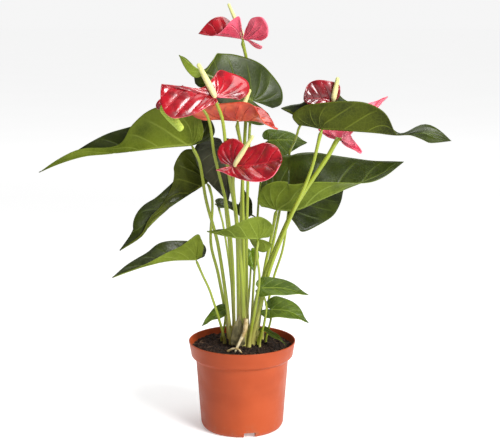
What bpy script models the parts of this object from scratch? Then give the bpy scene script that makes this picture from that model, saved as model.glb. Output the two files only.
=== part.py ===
"""Potted anthurium: long-stalked heart-shaped leaves and red flowers in a plastic nursery pot.

+Z is up and the front is towards -Y. The origin is on the pot's axis, where the pot stands.
Lengths in the tables are millimetres and become metres when a mesh is made.
"""

import math
from bisect import bisect_right

import bmesh
import bpy
from mathutils import Matrix, Vector

MM = 0.001

# Pot: a thin-walled nursery pot with a stepped rim band
POT_HEIGHT = 100.0
RIM_RADIUS = 60.0
RIM_BAND = 17.0
RIM_TAPER = 3.0
RIM_STEP = 5.0
RIM_STEP_HEIGHT = 4.0
BASE_RADIUS = 46.5
BASE_CHAMFER = 3.0
WALL = 1.6
POT_SIDES = 40
FOOT_WIDTH = 4.0
RECESS = 6.5
NOTCH_WIDTH = 13.0
NOTCH_HEIGHT = RECESS - 0.5
NOTCH_COUNT = 3
NOTCH_TURN = math.radians(-79)
DRAIN_RADIUS = 4.0
DRAIN_COUNT = 6
DRAIN_CIRCLE = 25.0

# Soil: a low mound that fills the pot, flat at the crown where the stems stand
SOIL_EDGE_DROP = 8.0
SOIL_MOUND = 5.0
CROWN_RADIUS = 33.0
CLEARANCE = 0.3

# Plant: the tables below are drawn with the crown at this height and move with the soil
DRAWN_CROWN = 94.0
LEAF_THICKNESS = 1.0
SPATHE_THICKNESS = 1.1
STEM_POINTS = 9
FOOT_RISE = 4.0
STEM_GAP = 0.6
SPADIX_NECK = 3.2

SOIL_EDGE = POT_HEIGHT - SOIL_EDGE_DROP
SOIL_TOP = SOIL_EDGE + SOIL_MOUND
PLANT_LIFT = Vector((0.0, 0.0, SOIL_TOP - DRAWN_CROWN))

# Half outline of a blade, from beside the sinus round the lobe to the tip: share of the lobe
# (negative) or of the length (positive), and share of the half width.
LEAF_OUTLINE = (
    (-0.80, 0.12), (-1.0, 0.36), (-0.74, 0.74), (-0.10, 0.97), (0.16, 1.0),
    (0.40, 0.87), (0.64, 0.58), (0.84, 0.26), (1.0, 0.0),
)
SPATHE_OUTLINE = (
    (-0.75, 0.14), (-1.0, 0.42), (-0.72, 0.84), (0.0, 1.0), (0.26, 1.0),
    (0.52, 0.86), (0.74, 0.58), (0.90, 0.25), (1.0, 0.0),
)

BLUNT_OUTLINE = (
    (-0.75, 0.14), (-1.0, 0.42), (-0.72, 0.84), (0.0, 1.0), (0.30, 1.0),
    (0.60, 0.97), (0.84, 0.75), (0.97, 0.35), (1.0, 0.0),
)
HIGH_BACK_TIP = (
    (-0.80, 0.12), (-1.0, 0.36), (-0.74, 0.74), (-0.10, 0.97), (0.16, 1.0),
    (0.40, 0.87), (0.62, 0.64), (0.84, 0.46), (1.0, 0.0),
)
LARGE_LOWER = (
    (-0.80, 0.10), (-1.0, 0.16), (-0.70, 0.20), (-0.10, 0.26), (0.12, 0.40), (0.28, 0.64),
    (0.48, 0.86), (0.68, 0.98), (0.86, 0.80), (0.97, 0.38), (1.0, 0.0),
)
LARGE_UPPER = (
    (-0.75, 0.12), (-1.0, 0.42), (-0.92, 0.84), (-0.50, 1.0), (-0.06, 0.86),
    (0.10, 0.50), (0.28, 0.18), (0.65, 0.10), (1.0, 0.0),
)
TOP_NEAR = (
    (-0.70, 0.06), (-0.93, 0.30), (-1.0, 0.82), (-0.88, 1.20), (-0.62, 1.20), (-0.34, 1.0),
    (-0.13, 0.56), (0.0, 0.06), (0.12, 0.95), (0.26, 0.80), (0.44, 0.32), (0.66, 0.13), (1.0, 0.0),
)
TOP_FAR = (
    (-0.70, 0.12), (-1.0, 0.30), (-0.80, 0.55), (-0.34, 0.50), (0.02, 0.34),
    (0.25, 0.38), (0.45, 0.66), (0.62, 0.76), (0.82, 0.50), (1.0, 0.0),
)
FRONT_UPPER = (
    (-0.75, 0.14), (-1.0, 0.50), (-0.85, 0.85), (-0.35, 1.0), (0.05, 0.92),
    (0.22, 0.68), (0.46, 0.70), (0.72, 0.70), (0.93, 0.46), (1.0, 0.0),
)
FRONT_LOWER = (
    (-0.80, 0.20), (-1.0, 0.36), (-0.50, 0.46), (0.0, 0.58), (0.25, 0.86),
    (0.55, 1.0), (0.82, 0.84), (0.96, 0.42), (1.0, 0.0),
)

# Each leaf: the midrib from the petiole to the tip, the way its upper side faces at some shares
# of the length, the left and right half widths, the lobes' lengths behind the petiole, and how
# far each half is folded up, in degrees, at the lobe, the middle and the tip. Left and right are
# as seen looking along the leaf from the petiole, upper side up. Where a half thins early, taper
# is the share of its width that it has lost past the middle. Curl is how much further up the
# margin turns than the midrib, in degrees.
HIGH_LEFT_NEAR = (
    (-0.80, 0.12), (-1.0, 0.36), (-0.74, 0.74), (-0.05, 0.97), (0.19, 0.97),
    (0.34, 0.64), (0.46, 0.18), (0.72, 0.19), (1.0, 0.0),
)
HIGH_LEFT_FAR = (
    (-0.80, 0.12), (-1.0, 0.36), (-0.74, 0.74), (-0.05, 0.92), (0.19, 0.88),
    (0.36, 0.74), (0.54, 0.64), (0.72, 0.28), (1.0, 0.0),
)
MIDDLE_LEFT_NEAR = (
    (-0.80, 0.12), (-1.0, 0.36), (-0.74, 0.74), (-0.10, 0.95), (0.08, 0.92),
    (0.20, 0.72), (0.34, 0.26), (0.60, 0.14), (1.0, 0.0),
)
MIDDLE_LEFT_FAR = (
    (-0.80, 0.12), (-1.0, 0.36), (-0.74, 0.70), (0.0, 0.80), (0.22, 0.55),
    (0.36, 0.43), (0.58, 0.48), (0.78, 0.30), (1.0, 0.0),
)
LOW_LEFT_NEAR = (
    (-0.80, 0.12), (-1.0, 0.5), (-0.50, 0.85), (-0.05, 1.0), (0.10, 0.80),
    (0.22, 0.52), (0.38, 0.28), (0.60, 0.12), (1.0, 0.0),
)
LOW_LEFT_FAR = (
    (-0.80, 0.12), (-1.0, 0.36), (-0.74, 0.60), (-0.10, 0.70), (0.16, 0.72),
    (0.38, 0.72), (0.55, 0.48), (0.82, 0.25), (1.0, 0.0),
)
HIGH_RIGHT_NEAR = (
    (-0.80, 0.12), (-1.0, 0.42), (-0.60, 0.75), (-0.10, 0.88), (0.14, 0.97), (0.30, 0.94),
    (0.43, 0.70), (0.54, 0.10), (0.62, 0.05), (0.80, 0.30), (1.0, 0.0),
)
HIGH_RIGHT_FAR = (
    (-0.68, 0.40), (-1.0, 0.42), (-0.78, 0.52), (-0.50, 0.60), (-0.30, 0.85), (0.04, 0.98), (0.15, 0.72),
    (0.30, 0.60), (0.45, 0.40), (0.58, 0.05), (0.80, 0.22), (1.0, 0.0),
)

LEAVES = {
    "high_left_leaf": dict(
        midrib=((-54, -12, 318), (-88, -10, 315), (-118, -6, 311), (-149, 0, 307), (-173, 5, 304),
                (-201, 13, 295), (-226, 20, 284)),
        up=((0.0, (0, 0.1, 1)), (1.0, (0, 0.2, 1))),
        half_width=(46, 42), lobe=(14, 26), left=(82, 80, 60), right=(66, 66, 40),
        curl=(-20, -20), outlines=(HIGH_LEFT_NEAR, HIGH_LEFT_FAR),
    ),
    "high_back_leaf": dict(
        midrib=((11, 22, 364), (-20, 8, 384), (-48, -1, 400), (-67, -8, 415)),
        up=((0.0, (0.43, -0.89, 0.19)), (0.55, (0.43, -0.89, 0.19)), (0.8, (-0.75, 0.1, -0.6)),
            (1.0, (-0.8, 0.3, -0.6))),
        half_width=(26, 40), lobe=(30, 34), left=(0, 10, 10), right=(5, 5, 10),
        outlines=(HIGH_BACK_TIP, HIGH_BACK_TIP),
    ),
    "middle_left_leaf": dict(
        midrib=((-39, 12, 273), (-60, 8, 260), (-74, 2, 253), (-86, -6, 243), (-99, -13, 234),
                (-109, -20, 220), (-133, -26, 205)),
        up=((0.0, (-0.4, 0.2, 1)), (1.0, (-0.5, -0.3, 1))),
        half_width=(46, 42), lobe=(18, 20), left=(84, 80, 40), right=(72, 70, 40),
        curl=(-20, -20), outlines=(MIDDLE_LEFT_NEAR, MIDDLE_LEFT_FAR),
    ),
    "low_left_leaf": dict(
        midrib=((-50, -20, 193), (-76, -28, 194), (-100, -36, 191), (-120, -42, 186), (-139, -48, 180)),
        up=((0.0, (0, 0.1, 1)), (1.0, (0, -0.1, 1))),
        half_width=(29, 30), lobe=(8, 12), left=(84, 76, 30), right=(70, 68, 30),
        curl=(-10, -10), outlines=(LOW_LEFT_NEAR, LOW_LEFT_FAR),
    ),
    "centre_left_leaf": dict(
        midrib=((-19, 2, 316), (-17, -4, 285), (-15, -12, 256)),
        up=((0.0, (-0.3, -0.9, 0.3)), (1.0, (-0.2, -1, 0.2))),
        half_width=(13, 33), lobe=(8, 10), left=(20, 25, 20), right=(25, 15, 10),
    ),
    "round_back_leaf": dict(
        midrib=((3, 40, 235), (4, 41, 247), (2, 43, 261)),
        up=((0.0, (0, -1, 0.2)), (1.0, (0, -1, 0.2))),
        half_width=(9, 9), lobe=(5, 5), left=(10, 20, 20), right=(10, 20, 20),
    ),
    "slim_middle_leaf": dict(
        midrib=((-26, 46, 243), (-7, 50, 237), (16, 53, 227)),
        up=((0.0, (0, -0.6, 1)), (1.0, (0, -0.6, 1))),
        half_width=(8, 8), lobe=(6, 6), left=(30, 30, 20), right=(20, 20, 20),
    ),
    "front_leaf": dict(
        midrib=((17, -62, 225), (-7, -70, 228), (-36, -76, 236)),
        up=((0.0, (0, 0.1, 1)), (1.0, (0, 0.0, 1))),
        half_width=(25, 22), lobe=(16, 18), left=(76, 70, 30), right=(-62, 40, 20),
    ),
    "high_right_leaf": dict(
        midrib=((86, -24, 337), (110, -28, 336), (142, -30, 334), (168, -27, 331), (198, -18, 332),
                (227, -10, 323)),
        up=((0.0, (0, 0.1, 1)), (0.5, (0, 0.1, 1)), (0.72, (0, -1, 0.5)), (1.0, (0, -1, 0.3))),
        half_width=(47, 35), lobe=(46, 32), left=(80, 78, 0), right=(62, 68, 0),
        outlines=(HIGH_RIGHT_FAR, HIGH_RIGHT_NEAR),
    ),
    "middle_right_leaf": dict(
        midrib=((39, 16, 242), (60, 13, 242), (87, 12, 254), (115, 14, 266), (148, 18, 279),
                (180, 20, 296)),
        up=((0.0, (-0.1, 0.1, 1)), (0.5, (-0.2, 0.0, 1)), (1.0, (-0.3, -0.8, 0.8))),
        half_width=(63, 36), lobe=(20, 22), left=(80, 76, 20), right=(74, 68, -10), taper=(0, 0.4),
    ),
    "back_right_leaf": dict(
        midrib=((54, 26, 242), (88, 50, 250), (120, 93, 256)),
        up=((0.0, (0.1, -0.9, 0.5)), (1.0, (0.1, -0.9, 0.5))),
        half_width=(12, 32), lobe=(4, 6), left=(0, 0, 0), right=(0, 10, 0),
    ),
    "bright_back_leaf": dict(
        midrib=((30, 46, 317), (52, 51, 317), (74, 55, 313)),
        up=((0.0, (0, -0.9, 0.5)), (1.0, (0, -0.9, 0.5))),
        half_width=(13, 22), lobe=(7, 6), left=(0, 0, 0), right=(0, -10, 0),
    ),
    "small_right_leaf": dict(
        midrib=((22, -26, 163), (46, -28, 163), (73, -30, 156)),
        up=((0.0, (0, -0.75, 0.8)), (1.0, (0, -0.7, 0.9))),
        half_width=(13, 12), lobe=(7, 7), left=(10, 10, 10), right=(0, 10, 10),
    ),
    "low_right_leaf": dict(
        midrib=((33, -4, 133), (53, -10, 132), (74, -14, 120)),
        up=((0.0, (0.2, -0.7, 0.9)), (1.0, (0.3, -0.5, 1))),
        half_width=(17, 15), lobe=(9, 12), left=(10, 10, 10), right=(10, 10, 10),
    ),
    "low_left_small_leaf": dict(
        midrib=((-19, 5, 131), (-31, 1, 125), (-45, -5, 114)),
        up=((0.0, (0, -0.7, 0.9)), (1.0, (-0.3, -0.6, 0.9))),
        half_width=(9, 8), lobe=(3, 3), left=(10, 10, 10), right=(10, 10, 10),
    ),
    "soil_leaf": dict(
        midrib=((22, -10, 112), (35, -20, 108), (49, -29, 99)),
        up=((0.0, (0.2, -0.3, 1)), (1.0, (0.3, -0.3, 1))),
        half_width=(5.5, 5.5), lobe=(2, 2), left=(10, 10, 10), right=(10, 10, 10),
    ),
    "inner_leaf": dict(
        midrib=((10, 47, 188), (12, 44, 176), (14, 42, 165)),
        up=((0.0, (0, -1, 0.3)), (1.0, (0, -1, 0.3))),
        half_width=(9, 9), lobe=(4, 4), left=(15, 15, 10), right=(15, 15, 10),
    ),
}

# Each flower: its spathe, described as a leaf is, and its spadix, which stands on the stalk's end.
FLOWERS = {
    "top": dict(
        midrib=((1, 20, 431), (-22, 34, 434), (-48, 46, 436)),
        up=((0.0, (0, 0.8, 0.6)), (0.5, (0, 0.1, 1)), (1.0, (0, -0.3, 1))),
        half_width=(24, 30), lobe=(34, 20), left=(18, 55, -40), right=(15, 66, 62),
        lobe_rise=(0, 0), outlines=(TOP_NEAR, TOP_FAR),
        spadix_tip=(-15, 42, 469), spadix_radius=2.4,
    ),
    "large": dict(
        midrib=((-28, -54, 374), (-53, -60, 380), (-82, -64, 388)),
        up=((0.0, (0.1, -0.85, 0.5)), (1.0, (0.1, -0.85, 0.5))),
        half_width=(33, 36), lobe=(3, 37), left=(20, 0, -10), right=(-10, 20, 20),
        outlines=(LARGE_LOWER, LARGE_UPPER),
        spadix_tip=(-45, -56, 409), spadix_radius=3.2,
    ),
    "orange": dict(
        midrib=((-4, -34, 347), (15, -42, 348), (38, -50, 340)),
        up=((0.0, (0, 0.1, 1)), (1.0, (0, 0, 1))),
        half_width=(22, 24), lobe=(36, 50), left=(50, 45, 20), right=(58, 56, 20), curl=(50, 50),
        spadix_tip=(9, -24, 380), spadix_radius=2.8,
    ),
    "front": dict(
        midrib=((-7, -65, 303), (17, -73.5, 306), (42, -80.5, 313)),
        up=((0.0, (0, -0.75, 0.66)), (1.0, (0, -0.75, 0.66))),
        half_width=(31, 23), lobe=(20, 17), left=(15, 15, 10), right=(10, 5, 10),
        lobe_rise=(0, 0.3), outlines=(FRONT_UPPER, FRONT_LOWER),
        spadix_tip=(12, -80, 337), spadix_radius=2.6,
    ),
    "right": dict(
        midrib=((97, -24, 367), (83, -25.5, 370), (66, -26.5, 370)),
        up=((0.0, (0.1, -0.9, 0.4)), (1.0, (0.1, -0.9, 0.4))),
        half_width=(9, 20), lobe=(4, 6), left=(5, 5, 0), right=(20, 20, 20),
        outlines=(BLUNT_OUTLINE, BLUNT_OUTLINE),
        spadix_tip=(102, -27, 393), spadix_radius=2.8,
    ),
    "under_leaf": dict(
        midrib=((108, 2, 323), (134, 14, 346), (161, 26, 368)),
        up=((0.0, (0.43, 0.62, -0.70)), (1.0, (0.43, 0.62, -0.70))),
        half_width=(34, 38), lobe=(3, 4), left=(5, 0, 0), right=(5, 5, 0),
        taper=(0.88, 0.5), taper_end=0.16,
        spadix_tip=(128, 30, 343), spadix_radius=2.6,
    ),
    "old": dict(
        midrib=((-83, -34, 361), (-72, -30, 372), (-62, -28, 384)),
        up=((0.0, (-0.5, -0.8, -0.1)), (1.0, (-0.5, -0.8, -0.1))),
        half_width=(9, 9), lobe=(5, 5), left=(0, 0, 0), right=(0, 0, 0),
        spadix_tip=(-62, -50, 339), spadix_radius=5.2, floret=2.2, floret_depth=0.4,
    ),
}

# Each stem: the radius at its foot and under the blade, the points it passes from the blade
# down, and where its foot stands on the crown.
PETIOLES = {
    "high_left_leaf": dict(
        radii=(2.1, 1.6), foot=(-12, -8),
        via=((-46, -11, 300), (-39, -9, 257), (-26, -7, 205)),
    ),
    "high_back_leaf": dict(
        radii=(2.0, 1.5), foot=(6, 22),
        via=((8, 22, 321), (6, 22, 254), (5, 22, 185)),
    ),
    "middle_left_leaf": dict(
        radii=(2.0, 1.4), foot=(-15, 16),
        via=((-33, 13, 252), (-35, 14, 205), (-27, 16, 169)),
    ),
    "low_left_leaf": dict(radii=(1.5, 1.2), via=((-44, -17, 177), (-35, -13, 155)), foot=(-20, -3)),
    "centre_left_leaf": dict(radii=(1.6, 1.3), via=((-20, 6, 270), (-14, 9, 200)), foot=(-9, 10)),
    "round_back_leaf": dict(radii=(1.4, 1.1), via=((4, 39, 220), (3, 34, 160)), foot=(0, 28)),
    "slim_middle_leaf": dict(radii=(1.4, 1.1), via=((-22, 41, 222), (-14, 32, 170)), foot=(-8, 24)),
    "front_leaf": dict(
        radii=(1.8, 1.1), foot=(8, -19),
        via=((16, -67, 213), (19, -54, 180), (14, -34, 140)),
    ),
    "high_right_leaf": dict(
        radii=(2.3, 1.8), foot=(12, -9),
        via=((74, -20, 290), (48, -17, 228), (28, -14, 172)),
    ),
    "middle_right_leaf": dict(radii=(2.2, 1.7), via=((33, 16, 212), (25, 14, 172)), foot=(16, 8)),
    "back_right_leaf": dict(radii=(1.5, 1.2), via=((46, 24, 196), (35, 22, 160)), foot=(23, 14)),
    "bright_back_leaf": dict(radii=(1.5, 1.2), via=((20, 42, 262), (16, 37, 200)), foot=(10, 28)),
    "small_right_leaf": dict(radii=(1.3, 1.0), via=((27, -24, 140),), foot=(20, -17)),
    "low_right_leaf": dict(radii=(1.4, 1.1), via=((32, -4, 120),), foot=(27, -2)),
    "low_left_small_leaf": dict(radii=(1.4, 1.2), via=((-20, 5, 112),), foot=(-23, 5)),
    "soil_leaf": dict(radii=(1.4, 1.1), via=((20, -9, 104),), foot=(18, -8)),
    "inner_leaf": dict(radii=(1.4, 1.1), via=((10, 51, 172), (8, 42, 140)), foot=(4, 30)),
}
STALKS = {
    "top": dict(
        radii=(2.2, 1.8), foot=(-2, 20),
        via=((5, 30, 408), (6, 37, 378), (3, 36, 320), (-1, 30, 230)),
    ),
    "large": dict(
        radii=(2.3, 1.7), foot=(-4, -9),
        via=((-20, -48, 350), (-15, -41, 300), (-6, -29, 240), (-4, -18, 165)),
    ),
    "orange": dict(
        radii=(2.1, 1.8), foot=(3, -2),
        via=((0, -30, 315), (1, -20, 248), (2, -10, 180)),
    ),
    "front": dict(
        radii=(2.2, 1.8), foot=(2, -16),
        via=((-9, -60, 284), (-4, -38, 228), (1, -26, 160)),
    ),
    "right": dict(
        radii=(1.7, 1.3), foot=(17, 17), rings=36,
        via=((90, -24.8, 357), (80, -24.3, 350), (72, -22.6, 346.5), (66, -19.8, 344), (62, -12, 338),
             (60, 0, 328), (58, 20, 318), (53, 38, 302), (42, 36, 235), (28, 25, 165)),
    ),
    "under_leaf": dict(
        radii=(2.7, 2.4), foot=(10, 1),
        via=((94, -2, 305), (60, -8, 253), (34, -6, 195), (18, -1, 150)),
    ),
    "old": dict(
        radii=(1.8, 1.5), foot=(-9, -2),
        via=((-62, -40, 366), (-38, -40, 357), (-29, -32, 310), (-16, -20, 250), (-10, -9, 180)),
    ),
}

SHEATH = dict(
    midrib=((-4.5, -21.8, 97), (-4.5, -22.5, 112), (-3, -23, 132)),
    up=((0.0, (0, -1, 0)), (1.0, (0, -1, 0))),
    half_width=(8, 8), lobe=(1, 1), left=(-8, -8, -8), right=(-8, -8, -8),
)


# ---------------------------------------------------------------- curves

def marks_along(points):
    """Share of the whole length at each point."""
    lengths = [0.0]
    for start, end in zip(points, points[1:]):
        lengths.append(lengths[-1] + (end - start).length)
    return [length / lengths[-1] for length in lengths]


def slope_at(points, marks, i):
    """Direction of the smooth curve at point i, per whole length."""
    if i == 0:
        return (points[1] - points[0]) / (marks[1] - marks[0])
    if i == len(points) - 1:
        return (points[-1] - points[-2]) / (marks[-1] - marks[-2])
    return (points[i + 1] - points[i - 1]) / (marks[i + 1] - marks[i - 1])


def smooth_point(points, share):
    """Point of the smooth curve through the points; below 0 it runs on straight."""
    marks = marks_along(points)
    if share < 0.0:
        return points[0] + slope_at(points, marks, 0) * share
    i = min(bisect_right(marks, share) - 1, len(points) - 2)
    step = marks[i + 1] - marks[i]
    t = (share - marks[i]) / step
    slope_in = slope_at(points, marks, i) * step
    slope_out = slope_at(points, marks, i + 1) * step
    return (
        points[i] * (2 * t**3 - 3 * t**2 + 1)
        + slope_in * (t**3 - 2 * t**2 + t)
        + points[i + 1] * (3 * t**2 - 2 * t**3)
        + slope_out * (t**3 - t**2)
    )


def direction(points, share):
    step = 0.02
    low = max(share, 0.0) - (step if share > 0.5 else 0.0)
    return (smooth_point(points, low + step) - smooth_point(points, low)).normalized()


def placed(points):
    """Points of a table, lifted to the height of the soil."""
    return [Vector(point) + PLANT_LIFT for point in points]


def length_of(points):
    return sum((end - start).length for start, end in zip(points, points[1:]))


def ease(share):
    share = min(max(share, 0.0), 1.0)
    return share * share * (3 - 2 * share)


# ---------------------------------------------------------------- blades

def facing(blade, share):
    """The way the blade's upper side faces at this share of its length."""
    stations = blade["up"]
    share = min(max(share, 0.0), 1.0)
    for (low, before), (high, after) in zip(stations, stations[1:]):
        if share <= high:
            part = ease((share - low) / (high - low))
            return Vector(before).lerp(Vector(after), part)
    return Vector(stations[-1][1])


def frame_at(blade, points, share):
    """Along, right and up directions of the blade at a share of its length."""
    along = direction(points, share)
    up = facing(blade, share)
    up = (up - along * up.dot(along)).normalized()
    return along, along.cross(up), up


def fold_at(folds, share, shift):
    """Fold angle of one half, in radians: lobe, middle and tip, eased between."""
    lobe, middle, tip = folds
    if share < 0.3 + shift:
        angle = lobe + (middle - lobe) * ease((share - shift + 0.3) / 0.6)
    else:
        angle = middle + (tip - middle) * ease((share - 0.3) / 0.6)
    return math.radians(angle)


def bent_section(width, half_width, fold, curl):
    """Sideways and upward reach of a half that leaves the midrib at one angle and bends steadily."""
    if curl == 0:
        return width * math.cos(fold), width * math.sin(fold)
    bend = math.radians(curl) / half_width
    start = fold - math.radians(curl) / 2
    end = start + bend * width
    return (math.sin(end) - math.sin(start)) / bend, (math.cos(start) - math.cos(end)) / bend


def margin_point(outline, blade_length, lobe, half_width, share):
    """Flat margin point, along and across, at a share of the way round the half outline."""
    flat = []
    for along, across in outline:
        reach = along * (lobe if along < 0 else blade_length)
        flat.append(Vector((reach, across * half_width, 0)))
    place = share * (len(flat) - 1)
    i = min(int(place), len(flat) - 2)
    t = place - i
    before = flat[max(i - 1, 0)]
    after = flat[min(i + 2, len(flat) - 1)]
    start, end = flat[i], flat[i + 1]
    slope_in = (end - before) / 2
    slope_out = (after - start) / 2
    return (
        start * (2 * t**3 - 3 * t**2 + 1)
        + slope_in * (t**3 - 2 * t**2 + t)
        + end * (3 * t**2 - 2 * t**3)
        + slope_out * (t**3 - t**2)
    )


def blade_point(blade, points, outline, around, across):
    """Point of the blade: around goes from the lobe to the tip, across from -1 left to 1 right."""
    length = length_of(points)
    side = 1 if across > 0 else 0
    half_width = blade["half_width"][side]
    outline = blade["outlines"][side] if "outlines" in blade else outline
    margin = margin_point(outline, length, blade["lobe"][side], half_width, around)
    vein_start = 0.08 * length
    foot = max(margin.x - vein_start, 0.0) / (length - vein_start) * length
    reach = foot + (margin.x - foot) * abs(across)
    share = reach / length
    taper = 1 - blade.get("taper", (0, 0))[side] * ease(share / blade.get("taper_end", 0.6))
    width = margin.y * abs(across) * taper
    along, right, up = frame_at(blade, points, share)
    fold = fold_at(blade["right" if side else "left"], share, blade.get("fold_shift", 0.0))
    outward = right if side else -right
    sideways, rise = bent_section(width, half_width, fold, blade.get("curl", (0, 0))[side])
    rise += max(-reach, 0.0) * blade.get("lobe_rise", (0, 0))[side]
    return smooth_point(points, share) + outward * sideways + up * rise


def blade_object(name, blade, outline, thickness, rows, columns, finish):
    """A thin closed blade, rows from lobe to tip and columns in each half."""
    points = placed(blade["midrib"])
    mesh = bmesh.new()
    bmesh.ops.create_grid(mesh, x_segments=2 * columns, y_segments=rows, size=1.0)
    for vertex in mesh.verts:
        across, around = vertex.co.x, (vertex.co.y + 1) / 2
        vertex.co = blade_point(blade, points, outline, around, across) * MM
    bmesh.ops.remove_doubles(mesh, verts=mesh.verts, dist=0.05 * MM)
    bmesh.ops.dissolve_degenerate(mesh, edges=mesh.edges, dist=0.05 * MM)
    blade_mesh = new_object(name, mesh, finish)
    wall = blade_mesh.modifiers.new("Thickness", "SOLIDIFY")
    wall.thickness = thickness * MM
    wall.offset = 0.0
    return blade_mesh


# ---------------------------------------------------------------- stems and spadices

def tube_object(name, centres, radii, sides_level, finish):
    """A tapered tube with filled ends through the centres, one radius for each."""
    curve = bpy.data.curves.new(name, "CURVE")
    curve.dimensions = "3D"
    curve.bevel_depth = MM
    curve.bevel_resolution = sides_level
    curve.use_fill_caps = True
    spline = curve.splines.new("POLY")
    spline.points.add(len(centres) - 1)
    for point, centre, radius in zip(spline.points, centres, radii):
        point.co = (*(centre * MM), 1.0)
        point.radius = radius
    curve.materials.append(finish)
    tube = bpy.data.objects.new(name, curve)
    bpy.context.scene.collection.objects.link(tube)
    return tube


def stem_object(name, stem, blade, thickness, finish):
    """A stem from its foot on the crown up to just under its blade."""
    points = placed(blade["midrib"])
    along, _, up = frame_at(blade, points, 0.0)
    top_radius = stem["radii"][1]
    top = points[0] - up * (thickness / 2 + STEM_GAP)
    neck = top - up * top_radius * 1.5 - along * top_radius * 0.5
    foot = Vector((*stem["foot"], SOIL_TOP + CLEARANCE))
    knee = foot + Vector((0, 0, FOOT_RISE))
    route = [neck, *placed(stem["via"]), knee]
    count = stem.get("rings", STEM_POINTS) - 2
    centres = [smooth_point(route, i / (count - 1)) for i in range(count)]
    centres = [top, *centres, foot]
    foot_radius = stem["radii"][0]
    radii = []
    for i in range(len(centres)):
        share = i / (len(centres) - 1)
        radii.append(top_radius + (foot_radius - top_radius) * share)
    return tube_object(name, centres, radii, 1, finish)


def spadix_object(name, flower, finish):
    """A blunt finger on a short neck above the spathe, thinning slightly to a round end."""
    points = placed(flower["midrib"])
    _, _, up = frame_at(flower, points, 0.0)
    radius = flower["spadix_radius"]
    tip = Vector(flower["spadix_tip"]) + PLANT_LIFT
    base = points[0] + up * (SPATHE_THICKNESS / 2 + STEM_GAP)
    shoulder = points[0] + up * (radius + SPADIX_NECK)
    shoulder += (tip - shoulder).normalized() * radius / 2
    profile = ((0.0, 0.9), (0.3, 1.0), (0.65, 0.92), (0.88, 0.76), (0.96, 0.5), (1.0, 0.15))
    centres = [base, *(shoulder.lerp(tip, share) for share, _ in profile)]
    radii = [radius * 0.25, *(radius * size for _, size in profile)]
    return tube_object(name, centres, radii, 2, finish)


# ---------------------------------------------------------------- pot and soil

def new_object(name, mesh, finish):
    data = bpy.data.meshes.new(name)
    mesh.to_mesh(data)
    mesh.free()
    data.materials.append(finish)
    piece = bpy.data.objects.new(name, data)
    bpy.context.scene.collection.objects.link(piece)
    return piece


def turned(profile, sides):
    """A closed solid turned round Z from (radius, height) points that start and end on the axis."""
    mesh = bmesh.new()
    points = [mesh.verts.new((radius * MM, 0, height * MM)) for radius, height in profile]
    edges = [mesh.edges.new(pair) for pair in zip(points, points[1:])]
    bmesh.ops.spin(
        mesh, geom=points + edges, cent=(0, 0, 0), axis=(0, 0, 1),
        angle=math.tau, steps=sides, use_merge=True,
    )
    bmesh.ops.remove_doubles(mesh, verts=mesh.verts, dist=0.01 * MM)
    bmesh.ops.recalc_face_normals(mesh, faces=mesh.faces)
    return mesh


def wall_radius(height):
    """Outer radius of the pot's body at a height below the rim band."""
    top = POT_HEIGHT - RIM_BAND - RIM_STEP_HEIGHT
    share = (height - BASE_CHAMFER) / (top - BASE_CHAMFER)
    return BASE_RADIUS + (body_top_radius() - BASE_RADIUS) * share


def body_top_radius():
    return RIM_RADIUS - RIM_TAPER - RIM_STEP


def pot_profile():
    """Half section of the pot, from the axis under the base, up the outside and down the inside."""
    band_foot = POT_HEIGHT - RIM_BAND
    step_foot = band_foot - RIM_STEP_HEIGHT
    foot_inner = BASE_RADIUS - BASE_CHAMFER - FOOT_WIDTH
    floor = RECESS + WALL
    return (
        (0, RECESS),
        (foot_inner, RECESS),
        (foot_inner, 0),
        (BASE_RADIUS - BASE_CHAMFER, 0),
        (BASE_RADIUS, BASE_CHAMFER),
        (body_top_radius(), step_foot),
        (RIM_RADIUS - RIM_TAPER, band_foot),
        (RIM_RADIUS, POT_HEIGHT),
        (RIM_RADIUS - WALL, POT_HEIGHT),
        (RIM_RADIUS - RIM_TAPER - WALL, band_foot + WALL),
        (body_top_radius() - WALL, step_foot + WALL),
        (wall_radius(floor) - WALL, floor),
        (0, floor),
    )


def cutter(name, shape):
    """A closed body that a Boolean takes away; it isn't part of the model."""
    data = bpy.data.meshes.new(name)
    shape.to_mesh(data)
    shape.free()
    piece = bpy.data.objects.new(name, data)
    bpy.context.scene.collection.objects.link(piece)
    piece.hide_render = True
    piece.display_type = "WIRE"
    return piece


def notch_cutter():
    """Blocks across the base's edge, where water leaves under the pot."""
    shape = bmesh.new()
    radial = 4 * FOOT_WIDTH
    for i in range(NOTCH_COUNT):
        turn = NOTCH_TURN + i * math.tau / NOTCH_COUNT
        corners = bmesh.ops.create_cube(shape, size=1.0)["verts"]
        bmesh.ops.scale(shape, vec=(radial * MM, NOTCH_WIDTH * MM, 2 * NOTCH_HEIGHT * MM), verts=corners)
        bmesh.ops.translate(shape, vec=(BASE_RADIUS * MM, 0, 0), verts=corners)
        bmesh.ops.rotate(shape, cent=(0, 0, 0), matrix=Matrix.Rotation(turn, 3, "Z"), verts=corners)
    return cutter("notch_cutter", shape)


def drain_cutter():
    """Round holes through the floor of the pot."""
    shape = bmesh.new()
    for i in range(DRAIN_COUNT):
        turn = (i + 0.5) * math.tau / DRAIN_COUNT
        ring = bmesh.ops.create_cone(
            shape, segments=12, cap_ends=True, radius1=DRAIN_RADIUS * MM,
            radius2=DRAIN_RADIUS * MM, depth=8 * WALL * MM,
        )["verts"]
        centre = (DRAIN_CIRCLE * math.cos(turn) * MM, DRAIN_CIRCLE * math.sin(turn) * MM, RECESS * MM)
        bmesh.ops.translate(shape, vec=centre, verts=ring)
    return cutter("drain_cutter", shape)


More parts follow.
